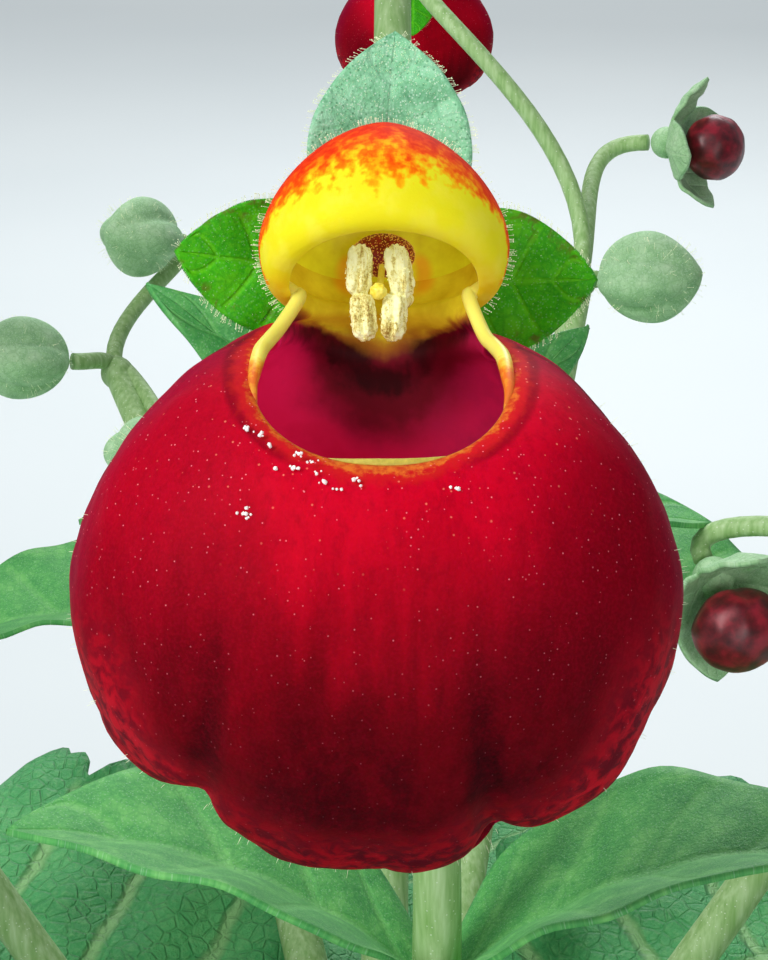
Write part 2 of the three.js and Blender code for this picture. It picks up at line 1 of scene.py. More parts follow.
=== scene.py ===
"""A potted pocketbook plant: fine skins, finishes, hairs and light over its fixed solids.

The frame is in metres, +Z up, with the plant's front towards -Y. Sizes in this file are the plant's own
millimetres, and settle() turns a finished mesh into metres. A flower is drawn with its throat at the origin,
facing -Y, and a FLOWERS row then says where it stands, which way it turns and how large it grew.
"""
from functools import partialmethod
from math import acos, atan2, cos, degrees, exp, hypot, pi, radians, sin, sqrt, tan
from random import Random
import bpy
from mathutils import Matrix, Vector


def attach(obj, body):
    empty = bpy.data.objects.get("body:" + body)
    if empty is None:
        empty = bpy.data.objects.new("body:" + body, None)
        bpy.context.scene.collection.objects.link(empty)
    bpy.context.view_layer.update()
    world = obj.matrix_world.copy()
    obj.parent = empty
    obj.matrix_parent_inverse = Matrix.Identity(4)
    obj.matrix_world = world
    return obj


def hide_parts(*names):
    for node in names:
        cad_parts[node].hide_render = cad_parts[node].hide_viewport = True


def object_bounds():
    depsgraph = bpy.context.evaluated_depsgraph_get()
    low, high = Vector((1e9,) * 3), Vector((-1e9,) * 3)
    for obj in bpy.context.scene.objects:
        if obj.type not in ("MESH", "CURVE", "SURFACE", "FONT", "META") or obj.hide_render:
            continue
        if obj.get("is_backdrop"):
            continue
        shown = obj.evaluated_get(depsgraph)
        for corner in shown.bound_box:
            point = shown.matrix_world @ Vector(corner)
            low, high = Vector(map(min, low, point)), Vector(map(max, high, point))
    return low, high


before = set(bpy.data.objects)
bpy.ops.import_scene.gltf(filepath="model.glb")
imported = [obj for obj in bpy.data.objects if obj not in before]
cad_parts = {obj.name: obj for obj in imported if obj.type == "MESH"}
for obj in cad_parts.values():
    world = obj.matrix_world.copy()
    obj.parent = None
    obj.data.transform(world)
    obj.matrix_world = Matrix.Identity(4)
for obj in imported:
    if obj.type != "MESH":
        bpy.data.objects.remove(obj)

from types import SimpleNamespace as Form

import bmesh
import bpy
from mathutils import Matrix, Vector, geometry, noise

SOLID_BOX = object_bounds()
MM = 0.001  # a millimetre in metres
GAP = 0.35  # millimetres between two bodies that touch
FRONT = Vector((0, -1, 0))
BATCH = 100  # how many hairs or crumbs are made at a time
MIX_SHARE, MIX_FROM, MIX_TO, MIXED = 0, 6, 7, 2  # the sockets of a colour mix, which share names with others

# ------------------------------------------------------------------ sizes of the plant and its pot

POT = Form(
    height=86, rim_radius=50, rim_height=17, rim_step=3, base_radius=33, wall=4, floor=5, lip=1.2,
)
SHOULDER = POT.height - POT.rim_height
SOIL = Form(level=75, ripple=1.1)
CROWN = Form(radius=5.5, top=93, bottom=55)

# Both lips of a flower are bags: an egg-shaped body with a rounded mouth in it. `up` and `down` are its
# height above and below its centre and its roundness there, where 2 is an ellipse. Angles are in degrees: a
# mouth's front, side and back run from its middle to its edge, and its front and back also say how square
# their corners are. A notch (angle, depth, width) is counted from the top of the flower to its right.
POUCH = Form(
    centre=Vector((-0.4, -5, -14.3)), half_width=14.65, up=(13.6, 1.88), down=(13.5, 2.12), front=9.5, back=8,
    seam=1.2, fullness=0.9, wall=0.7,
    neck=Form(way=Vector((0, 0.44, 0.9)), rise=3.1, spread=0.42),
    notches=[
        (-139.6, 0.12, 5.5), (152, 0.095, 5), (-150, 0.022, 8), (178, 0.02, 4), (-113, 0.015, 4),
        (114, 0.015, 4),
    ],
    mouth=Form(way=Vector((0.025, -0.26, 0.96)), front=(49.4, 2.3), side=27.5, back=(53, 5.2), roll=1.1),
)
HOOD = Form(
    centre=Vector((0, -2.6, 2.5)), half_width=6.15, up=(6, 1.7), down=(5.4, 2), front=5.4, back=4.6,
    seam=1, fullness=0.95, wall=0.7, neck=None, notches=[],
    mouth=Form(way=Vector((0, -0.63, -0.78)), front=(54, 1), side=61, back=(78, 1), roll=1),
)
ROLL_SHARE = 0.1  # the part of a bag's skin, from its mouth, that rolls in
RIM_ROUNDING = 0.25
CROWD = 1.6  # how much a bag's rows draw together towards its mouth
POUCH_DOWN = 30  # the way along the skin from the mouth's edge to the bottom
HOOD_BROW = 66  # how far down the hood's front its red brow reaches, in degrees from its edge
CRESCENT_WALL = 0.12

# A pleat runs up the pouch's front from each of its two large notches: (x, z) of its foot, the way x changes
# as it climbs, its height and its strength.
PLEATS = [((-8.9, -24), 0.19, 11, 1.0), ((5.0, -25), -0.09, 9, 1.5)]

# Where pollen has dropped on the main flower's pouch: (turn, depth) of each crumb in degrees, as seen from
# the pouch's centre.
POLLEN = [
    (-37.5, -47), (-35, -50.5), (-34, -54.5), (-27.5, -60), (-25, -62.5), (-37.5, -60), (-32.5, -62),
    (-25, -65), (-24, -67.5), (-19, -70), (-10, -69), (-6, -70.5), (-55, -62), (-57.5, -62), (-56, -63.5),
    (-58, -63.5), (36, -66),
]

# The throat's skin runs from inside the hood over its edge, and down the pouch's back wall: (v, depth) under
# the skin of each.
THROAT = Form(
    hood=[(0.34, 0.5), (0.14, 0.95), (0.02, 1.5), (-0.03, 1.3)], hood_share=0.2, pouch_share=0.15, wall=0.15,
    pouch=[(-0.012, 0.9), (0.01, 1.5), (0.06, 1.25), (0.16, 1.0), (0.3, 0.95), (0.42, 0.95)],
)

# The straps leave the hood at its corners, at (v, depth) under its skin, cross to the pouch's mouth and run
# into its lip, through these (u, v) of the pouch and depths under its skin.
STRAP = Form(
    radius=0.31, hood_share=0.2, hood=[(0.12, 0.6), (0.02, 1.0), (-0.03, 1.0)],
    run=[
        (0.36, -0.012, 0.7), (0.31, -0.009, 0.75), (0.27, -0.008, 0.75), (0.23, -0.005, 0.75),
        (0.19, -0.002, 0.8), (0.16, 0.001, 0.85), (0.13, 0.003, 0.95),
    ],
)

SEPAL = Form(thickness=0.4, seat=Vector((0, 4.7, 1.2)), receptacle=2.2, root=1.3, fold=8)
SEPALS = [
    Form(turn=2.5, length=13.1, half_width=4.25, lean=-2, bow=0.04),
    Form(turn=89.5, length=11, half_width=3.8, lean=5, bow=-0.05),
    Form(turn=-81.5, length=10.9, half_width=3.5, lean=5, bow=-0.05),
    Form(turn=180, length=12, half_width=4, lean=-14, bow=0.02),
]

STAMEN = Form(sac_radius=0.65, filament=0.35, root=Vector((1.15, -1, 0)))
STAMENS = {
    "left": [
        Form(at=Vector((-1.22, -4, 1.15)), half=1.25, lean=3),
        Form(at=Vector((-1.02, -4.1, -1.1)), half=1.15, lean=-6),
    ],
    "right": [
        Form(at=Vector((0.72, -4, 1.1)), half=1.3, lean=-12),
        Form(at=Vector((0.46, -4.1, -1.1)), half=1.15, lean=4),
    ],
}
PISTIL = Form(
    at=Vector((-0.05, -0.35, 2.2)), size=Vector((1.6, 1.15, 1.1)), glands=1500, style=0.17, stigma=0.4,
    tip=Vector((-0.27, -4.6, 0.1)),
)

# How finely the main flower is drawn, and the others: the columns and rows of each skin, the steps and sides
# of a strap, the grains on each pollen sac, and the share of the hairs.
FINE = Form(
    pouch=(240, 100), hood=(160, 60), sepal=(28, 44), throat=(48, 7), strap=(6, 16), grains=120, hairs=1.0)
COARSE = Form(
    pouch=(72, 34), hood=(48, 20), sepal=(12, 20), throat=(12, 2), strap=(2, 8), grains=0, hairs=0.25)
HAIRS = Form(hood=520, top_edge=240, edge=230, top_face=1500, face=120, pouch=60, bud=160)


def flower(name, at, yaw, pitch, size, stem):
    return Form(name=name, at=Vector(at), yaw=yaw, pitch=pitch, size=size, stem=stem)


# Each flower's throat, the way it faces (yaw from the plant's front to its right, pitch upwards), its size
# and the stem that holds it.
FLOWERS = [
    flower("hero", (0, -38, 185), 0, 20, 1, "front"),
    flower("front_left", (-50, -26, 166), -55, 10, 0.95, "left"),
    flower("front_right", (48, -22, 174), 50, 12, 0.97, "right"),
    flower("back_left", (-51, 34, 184), -130, 10, 0.92, "left"),
    flower("back_right", (51, 38, 178), 135, 8, 0.95, "right"),
    flower("top", (-3, 12, 221), 8, 10, 0.85, "centre"),
    flower("rear", (2.6, 74, 184), 180, 5, 0.5, "back_right"),
]
OPEN_BUDS = [
    flower("bud_right_high", (28, 67, 169.5), 65, 5, 0.8, "back_right"),
    flower("bud_right_low", (24.5, 7, 149.5), 20, -25, 0.85, "right"),
]
CLOSED_BUDS = [
    flower("bud_right_middle", (22.5, 49, 162), 60, 10, 0.9, "back_right"),
    flower("bud_left_high", (-22.5, 70, 160), -40, 15, 0.85, "back_left"),
    flower("bud_left_middle", (-32, 55, 153), -70, 10, 0.85, "back_left"),
    flower("bud_left_low", (-21, 47, 147), -20, 0, 0.7, "back_left"),
]
BUD = Form(
    radius=4, length=5.2, ridge=0.1, receptacle=1.8,
    sepal_root=1.1, sepal_fold=14, sepal=dict(length=9, half_width=3.3, lean=36, bow=-0.14),
    pouch=Form(at=Vector((0, -2.2, -0.5)), size=(3.9, 3.4, 3.7)),
)
BUD_SIZE = Vector((BUD.radius, BUD.length, BUD.radius))

# A stem's route, and its bracts: where each grows from, its tip, its half width and, unless it is up, the
# way that it faces.
STEM = Form(foot=1.9, fork=1.2, knot=1.5, stalk=0.75)
STEMS = {
    "front": Form(
        route=[(1, -7.4, 86), (2.4, -14, 108), (3.1, -25, 134), (3, -27.5, 152), (2, -23, 168)],
        bracts=[
            ((2, -23, 167), (-13.4, -21.6, 181.2), 2.5, (0.3, -1, 0.7)),
            ((2, -23, 167), (11.6, -21.8, 178.8), 2.5, (-0.3, -1, 0.7)),
            ((3.1, -26, 138), (28, -30, 150), 8.5), ((3.1, -26, 138), (-22, -28, 150), 8.5),
        ],
    ),
    "left": Form(
        route=[(-7.4, -1, 87), (-14, -2, 108), (-26, -3, 130), (-38, -2, 150)],
        bracts=[((-37, -2, 148), (-50, -24, 142), 7), ((-37, -2, 148), (-46, 22, 146), 7)],
    ),
    "right": Form(
        route=[(7.4, 1, 87), (14, 2, 108), (26, 2, 130), (38, 2, 150)],
        bracts=[((37, 2, 148), (52, -20, 144), 7), ((37, 2, 148), (49, 24, 143), 7)],
    ),
    "back_right": Form(
        route=[(2.6, 6.9, 87), (4, 12, 106), (8, 25, 128), (13, 42, 146), (17, 55, 160)],
        bracts=[((11, 35, 139), (34, 30, 137), 9), ((11, 35, 139), (10, 64, 139), 8)],
    ),
    "back_left": Form(
        route=[(-2.6, 6.9, 87), (-4, 12, 106), (-10, 27, 126), (-17, 45, 140), (-24, 60, 150)],
        bracts=[((-14, 38, 134.5), (-38, 34, 134), 9), ((-14, 38, 134.5), (-8, 62, 131), 8)],
    ),
    "centre": Form(
        route=[(0, 0, 93.35), (0, 2, 120), (0.4, 8, 150), (0.6, 18, 180), (0.6, 24, 200)],
        bracts=[((0.4, 8, 149), (24, 14, 153), 7), ((0.4, 8, 149), (-22, 12, 154), 7)],
    ),
}

LEAF = Form(
    thickness=0.5, stalk=0.2, stalk_half_width=1.6, fold=16, teeth=6, tooth_depth=0.11, relief=0.45,
    ripple=1.5,
)
LEAVES = [
    Form(
        name=f"leaf_low_{n + 1}", bearing=30 + 60 * n, height=80 + n % 2, length=80 - 3 * (n % 2),
        half_width=24 - n % 3, rise=54 if n % 2 else 41, bend=84,
    )
    for n in range(6)
] + [
    Form(
        name=f"leaf_high_{n + 1}", bearing=bearing, height=86.5 + 2 * (n % 2), length=64 + 2 * (n % 2),
        half_width=20, rise=62, bend=80,
    )
    for n, bearing in enumerate((38, 142, 218, 322))
]
LEAF_FOOT = CROWN.radius + GAP + 1.2  # how far from the crown's axis a leaf stalk starts

# The camera stands in front of the main flower, a little above it, and looks down by so many degrees. It and
# the lamps are placed in metres. A lamp's row: name, place, what it points at, size, power and colour.
CAMERA = Form(lens=97.5, place=(0, -0.1632, 0.2210), down=20)
SKY = Form(colour=(0.86, 0.93, 1.0, 1.0), strength=0.3)
FLOOR_REACH = 4  # metres from its middle
LAMPS = [
    ("key", (-0.36, -0.33, 0.55), (0, -0.02, 0.17), 0.3, 3.2, (1.0, 0.98, 0.95)),
    ("front", (0.14, -0.6, 0.26), (0, -0.02, 0.18), 0.25, 0.95, (1.0, 0.99, 0.97)),
    ("back", (0.1, 0.7, 0.6), (0, 0, 0.15), 0.5, 3.0, (0.95, 0.98, 1.0)),
    ("ground", (0, 1.2, 1.3), (0, 1.0, 0), 1.2, 9, (0.97, 0.99, 1.0)),
]

# ------------------------------------------------------------------ making and joining meshes


def keep_place(bm):
    """Notes every corner's place in the flower or the pot as "own", for the finishes."""
    own = bm.verts.layers.float_vector.new("own")
    for vert in bm.verts:
        vert[own] = vert.co
    return bm


def sheet(place, columns, rows, wrap=False, marks=None):
    """A skin: a grid whose corner (u, v), each from 0 to 1, is moved to place(u, v). Each of `marks`, a name
    and a function of u and v, is noted as an attribute of that name."""
    bm = bmesh.new()
    bmesh.ops.create_grid(bm, x_segments=columns, y_segments=rows, size=0.5)
    uv = bm.loops.layers.uv.new("UVMap")
    for face in bm.faces:
        for loop in face.loops:
            loop[uv].uv = (loop.vert.co.x + 0.5, loop.vert.co.y + 0.5)
    layers = [(bm.verts.layers.float.new(name), mark) for name, mark in (marks or {}).items()]
    for vert in bm.verts:
        u, v = vert.co.x + 0.5, vert.co.y + 0.5
        for layer, mark in layers:
            vert[layer] = mark(u, v)
        vert.co = place(u, v)
    if wrap:
        bmesh.ops.remove_doubles(bm, verts=bm.verts, dist=1e-4)
    bmesh.ops.reverse_faces(bm, faces=bm.faces)
    return keep_place(bm)


def joined(parts):
    whole = bmesh.new()
    for part in parts:
        mesh = bpy.data.meshes.new("part")
        part.to_mesh(mesh)
        part.free()
        whole.from_mesh(mesh)
        bpy.data.meshes.remove(mesh)
    return whole


def many(things, make):
    """One mesh of many small shapes. make(bm, *thing) adds each, and batches keep that quick."""
    parts = []
    for start in range(0, len(things), BATCH):
        bm = bmesh.new()
        for thing in things[start:start + BATCH]:
            make(bm, *thing)
        parts.append(keep_place(bm))
    return joined(parts)


def settle(name, bm, finishes, nodes=(), place=None, wall=0.0, offset=0.0):
    """Turns a mesh into a finished piece, in metres, where it stands on the plant. A skin gets a wall, and with
    three finishes the wall's inner side and its rim take the second and the third."""
    bm.transform(Matrix.Scale(MM, 4) @ (place or Matrix.Identity(4)))
    mesh = bpy.data.meshes.new(name)
    bm.to_mesh(mesh)
    bm.free()
    mesh.shade_smooth()
    for finish in finishes:
        mesh.materials.append(finish)
    piece = bpy.data.objects.new(name, mesh)
    bpy.context.scene.collection.objects.link(piece)
    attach(piece, "root")
    if nodes:
        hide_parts(*nodes)
    if wall:
        solid = piece.modifiers.new("wall", "SOLIDIFY")
        solid.thickness = wall * MM
        solid.offset = offset
        solid.use_even_offset = False
        if len(finishes) == 3:
            solid.material_offset = 1
            solid.material_offset_rim = 2
    return piece


def round_edges(piece, width, angle):
    edge = piece.modifiers.new("rounded edges", "BEVEL")
    edge.width = width * MM
    edge.segments = 3
    edge.limit_method = "ANGLE"
    edge.angle_limit = radians(angle)


def standing(one):
    """The matrix that puts a flower or a bud where it grows."""
    turn = Matrix.Rotation(radians(one.yaw), 4, "Z") @ Matrix.Rotation(-radians(one.pitch), 4, "X")
    return Matrix.Translation(one.at) @ turn @ Matrix.Scale(one.size, 4)


def grow(one, ending, bm, finishes, node="", wall=0.0, offset=0.0):
    """Settles a piece of a flower or a bud, for its node whose name ends in `node`, if it has one."""
    known = f"{one.name}_{node}"
    nodes = [known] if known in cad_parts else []
    name = f"{one.name}_{ending}"
    return settle(name, bm, finishes, nodes, standing(one), wall * one.size, offset)


def flowing(points, steps):
    """A smooth line through points, with so many steps between each two."""
    knots = [Vector(p) for p in points]
    line = [knots[0]]
    for n in range(len(knots) - 1):
        before = knots[max(0, n - 1)]
        after = knots[min(len(knots) - 1, n + 2)]
        start, end = knots[n], knots[n + 1]
        bends = start + (end - before) / 6, end - (after - start) / 6
        line += geometry.interpolate_bezier(start, *bends, end, steps + 1)[1:]
    return line


def rod(line, radius_at, sides):
    """A closed round rod along a line. radius_at(t) is its radius for t from 0 to 1."""
    last = len(line) - 1
    ways = [(line[min(n + 1, last)] - line[max(n - 1, 0)]).normalized() for n in range(last + 1)]
    across = [ways[0].orthogonal().normalized()]
    for way in ways[1:]:
        across.append((across[-1] - way * way.dot(across[-1])).normalized())

    def place(u, v):
        n = round(v * last)
        around = across[n] * cos(2 * pi * u) + ways[n].cross(across[n]) * sin(2 * pi * u)
        return line[n] + around * radius_at(v)

    bm = sheet(place, sides, last, wrap=True)
    bmesh.ops.holes_fill(bm, edges=[edge for edge in bm.edges if edge.is_boundary])
    bmesh.ops.recalc_face_normals(bm, faces=bm.faces)
    return bm


def egg(centre, size, around=24, down=16, lean=0.0, shape=None):
    """A ball stretched to three half sizes. shape(point) may move a corner of the unit ball first."""
    bm = bmesh.new()
    bmesh.ops.create_uvsphere(bm, u_segments=around, v_segments=down, radius=1)
    for vert in bm.verts if shape else ():
        vert.co = shape(vert.co)
    bmesh.ops.scale(bm, vec=Vector(size), verts=bm.verts)
    bmesh.ops.rotate(bm, matrix=Matrix.Rotation(radians(lean), 3, "Y"), verts=bm.verts)
    bmesh.ops.translate(bm, vec=Vector(centre), verts=bm.verts)
    return keep_place(bm)


def crumbs(spots, grain=1):
    """Small rough grains at (place, radius) spots."""

    def crumb(bm, place, radius):
        where = Matrix.Translation(place)
        for vert in bmesh.ops.create_icosphere(bm, subdivisions=grain, radius=radius, matrix=where)["verts"]:
            vert.co += (vert.co - place) * 0.5 * noise.noise(vert.co * 1.7 / radius)

    return many(spots, crumb)


def hairs(roots, radius, gland=0.0):
    """Fine hairs from (root, way) pairs, where way is as long as the hair. A gland is a ball on its tip."""

    def hair(bm, root, way):
        turn = way.to_track_quat("Z", "Y").to_matrix().to_4x4()
        bmesh.ops.create_cone(
            bm, cap_ends=True, segments=3, radius1=radius, radius2=radius * 0.4, depth=way.length,
            matrix=Matrix.Translation(root + way / 2) @ turn)
        if gland:
            tip = Matrix.Translation(root + way)
            bmesh.ops.create_icosphere(bm, subdivisions=1, radius=gland, matrix=tip)

    return many(roots, hair)


def spot_on(place, u, v):
    """The point of a skin at u, v, and the way that its outer side faces there."""
    step = 0.004
    along_u = place(u + step, v) - place(u - step, v)
    along_v = place(u, min(1, v + step)) - place(u, max(0, v - step))
    return place(u, v), along_v.cross(along_u).normalized()


def on_ball(rng, reach=1.0):
    """A random point on the unit ball, at a height of up to `reach` above or below its middle."""
    turn, z = rng.uniform(0, 2 * pi), rng.uniform(-reach, reach)
    ring = sqrt(1 - z * z)
    return Vector((ring * cos(turn), ring * sin(turn), z))


def noisy(rng, way, share):
    """A way turned a little at random, of the same length."""
    jitter = Vector((rng.uniform(-1, 1), rng.uniform(-1, 1), rng.uniform(-1, 1)))
    return (way.normalized() + jitter * share).normalized() * way.length


# ------------------------------------------------------------------ nodes of a finish


def shade(colour):
    """A screen colour as the linear colour that a shader takes."""
    parts = [int(colour[n:n + 2], 16) / 255 for n in (1, 3, 5)]
    return tuple(c / 12.92 if c <= 0.04045 else ((c + 0.055) / 1.055) ** 2.4 for c in parts) + (1.0,)


class Nodes:
    """The nodes of a material or a group. A socket is fed a number, a "#RRGGBB" colour or a Value."""

    def __init__(self, tree):
        self.tree = tree

    def feed(self, socket, value):
        if isinstance(value, Value):
            self.tree.links.new(value.end, socket)
        else:
            socket.default_value = shade(value) if isinstance(value, str) else value

    def node(self, kind, inputs=(), **settings):
        node = self.tree.nodes.new(kind)
        for key, value in settings.items():
            setattr(node, key, value)
        for key, value in dict(inputs).items():
            self.feed(node.inputs[key], value)
        return node

    def add(self, kind, inputs=(), out=0, **settings):
        """Adds a node and gives one of its outputs."""
        return Value(self, self.node(kind, inputs, **settings).outputs[out])

    def every(self, kind, inputs=(), **settings):
        """Adds a node and gives all its outputs."""
        return [Value(self, end) for end in self.node(kind, inputs, **settings).outputs]

    def mark(self, name, out="Fac"):
        return self.add("ShaderNodeAttribute", out=out, attribute_name=name)


class Value:
    """What a node puts out. Sums with it, and its methods, add the nodes that work them out."""

    def __init__(self, nodes, end):
        self.nodes = nodes
        self.end = end

    def math(self, operation, other=0.0):
        return self.nodes.add("ShaderNodeMath", {0: self, 1: other}, operation=operation)

    def __rsub__(self, other):
        return self.nodes.add("ShaderNodeMath", {0: other, 1: self}, operation="SUBTRACT")

    __add__ = partialmethod(math, "ADD")
    __sub__ = partialmethod(math, "SUBTRACT")
    __mul__ = partialmethod(math, "MULTIPLY")
    __truediv__ = partialmethod(math, "DIVIDE")
    __pow__ = partialmethod(math, "POWER")
    __abs__ = partialmethod(math, "ABSOLUTE")

    def span(self, low, high, to_low=0.0, to_high=1.0):
        """Maps low..high smoothly to 0..1, or to another pair."""
        given = {"Value": self, "From Min": low, "From Max": high, "To Min": to_low, "To Max": to_high}
        return self.nodes.add("ShaderNodeMapRange", given, interpolation_type="SMOOTHSTEP")

    def sway(self, by):
        """A noise as a change up or down by at most so much."""
        return self.span(0.3, 0.7, -by, by)

    def ramp(self, *stops):
        """The colour that (position, colour) stops give this value."""
        node = self.nodes.node("ShaderNodeValToRGB", {"Fac": self})
        marks = node.color_ramp.elements
        while len(marks) < len(stops):
            marks.new(0.5)
        for mark, (position, colour) in zip(marks, stops):
            mark.position = position
            mark.color = shade(colour)
        return Value(self.nodes, node.outputs["Color"])

    def toward(self, colour, share):
        """This colour with a share of another mixed in."""
        given = {MIX_SHARE: share, MIX_FROM: self, MIX_TO: colour}
        return self.nodes.add("ShaderNodeMix", given, MIXED, data_type="RGBA")

    def parts(self):
        """A place's x, y and z."""
        return self.nodes.every("ShaderNodeSeparateXYZ", {0: self})

    def stretched(self, x, y, z):
        return self.nodes.add("ShaderNodeMapping", {"Vector": self, "Scale": (x, y, z)})

    def noise(self, scale, detail=3.0, rough=0.55, distortion=0.0):
        given = dict(Vector=self, Scale=scale, Detail=detail, Roughness=rough, Distortion=distortion)
        return self.nodes.add("ShaderNodeTexNoise", given, "Fac")

    def effect(self, group, *values):
        """All outputs of a group at this place, with values for its other inputs in their order."""
        return self.nodes.every("ShaderNodeGroup", dict(enumerate((self, *values))), node_tree=group)

    def dots(self, scale, size, share):
        return self.effect(DOTS, scale, size, share)[0]

    def mottle(self, scale, cover, softness):
        return self.effect(MOTTLE, scale, cover, softness)[0]


def new_group(name, inputs, outputs, build):
    """A node group. `inputs` gives each number's default, and None for a place. build(*inputs) gives the
    values of its outputs."""
    tree = bpy.data.node_groups.new(name, "ShaderNodeTree")
    for socket, value in inputs.items():
        kind = "NodeSocketVector" if value is None else "NodeSocketFloat"
        made = tree.interface.new_socket(socket, in_out="INPUT", socket_type=kind)
        if value is not None:
            made.default_value = value
    for socket in outputs:
        tree.interface.new_socket(socket, in_out="OUTPUT", socket_type="NodeSocketFloat")
    nodes = Nodes(tree)
    given = nodes.every("NodeGroupInput")[:len(inputs)]
    out = nodes.node("NodeGroupOutput")
    for socket, value in zip(outputs, build(*given)):
        nodes.feed(out.inputs[socket], value)
    return tree


def scattered_dots(place, scale, size, share):
    """Round dots at random: size is a dot's radius over the spacing, share the part that is there."""
    away, colour, *_ = place.nodes.every("ShaderNodeTexVoronoi", {"Vector": place, "Scale": scale})
    chosen = place.nodes.add("ShaderNodeSeparateColor", {"Color": colour}).math("LESS_THAN", share)
    return [away.span(size, size * 0.6) * chosen]


def blotches(place, scale, cover, softness):
    """Soft-edged blotches: more cover makes them larger, more softness blurs them."""
    middle = 1.0 - cover
    return [place.noise(scale, 4, 0.6, 0.4).span(middle - softness, middle + softness)]


def leaf_veins(place, uv, pairs, sweep, net_scale):
    """A leaf's veins from its UV map: a midrib and side veins that sweep forward, and a net between them."""
    across, along, _ = uv.parts()
    side = abs(across * 2.0 - 1.0)
    rows = (along + place.noise(0.25, 2) * 0.03) * pairs
    near = abs((rows - side * sweep).math("FRACT") - 0.5)
    laterals = near.span(0.11, 0.02) * side.span(0.98, 0.8)
    given = {"Vector": place, "Scale": net_scale}
    cell_edge = place.nodes.add("ShaderNodeTexVoronoi", given, feature="DISTANCE_TO_EDGE")
    return [side.span(0.09, 0.02).math("MAXIMUM", laterals), cell_edge.span(0.12, 0.02)]


DOTS = new_group(
    "scattered dots", {"Vector": None, "Scale": 3.0, "Size": 0.15, "Share": 0.5}, ["Mask"], scattered_dots)
MOTTLE = new_group(
    "mottle", {"Vector": None, "Scale": 1.0, "Cover": 0.5, "Softness": 0.1}, ["Mask"], blotches)
VEINS = new_group(
    "leaf veins", {"Vector": None, "UV": None, "Pairs": 6.0, "Sweep": 0.7, "Net Scale": 1.0},
    ["Veins", "Net"], leaf_veins)


def finish(name, paint, roughness=0.5, bump=0.3, depth=0.02, painted_glow=0.0, **plain):
    """A material. paint(own) gives its colour and the height of its relief, `depth` millimetres deep at a
    bump of 1, from the place on the plant. Its painted glow is painted light: an emission in its own colour
    that stands in for light coming through a thin part and brightens parts in shade. `plain` values go straight
    on the shader's sockets."""
    material = bpy.data.materials.new(name)
    material.use_nodes = True
    nodes = Nodes(material.node_tree)
    sockets = material.node_tree.nodes["Principled BSDF"].inputs
    colour, height = paint(nodes.mark("own", "Vector"))
    nodes.feed(sockets["Base Color"], colour)
    sockets["Roughness"].default_value = roughness
    # Painted light: the colour glows by itself, for light through thin parts and in shade.
    if painted_glow:
        nodes.feed(sockets["Emission Color"], colour)
        sockets["Emission Strength"].default_value = painted_glow
    for key, value in plain.items():
        sockets[key.replace("_", " ")].default_value = value
    if height:
        relief = nodes.add("ShaderNodeBump", {"Height": height, "Strength": bump, "Distance": depth * MM})
        nodes.feed(sockets["Normal"], relief)
    return material


# ------------------------------------------------------------------ finishes of the flowers


def painted_side_shade(x, z):
    """How much painted shade deepens the pouch's crimson towards its two sides, more so on its right."""
    right = (x + (-11.0 - z) * 0.55).span(3.4, 11.2, 0, 0.7) * z.span(-21, -17)
    left = x.span(-3.5, -9) * (z.span(-9, -12.5, 0.38, 0.48) * z.span(-20.5, -17))
    return right.math("MAXIMUM", left)


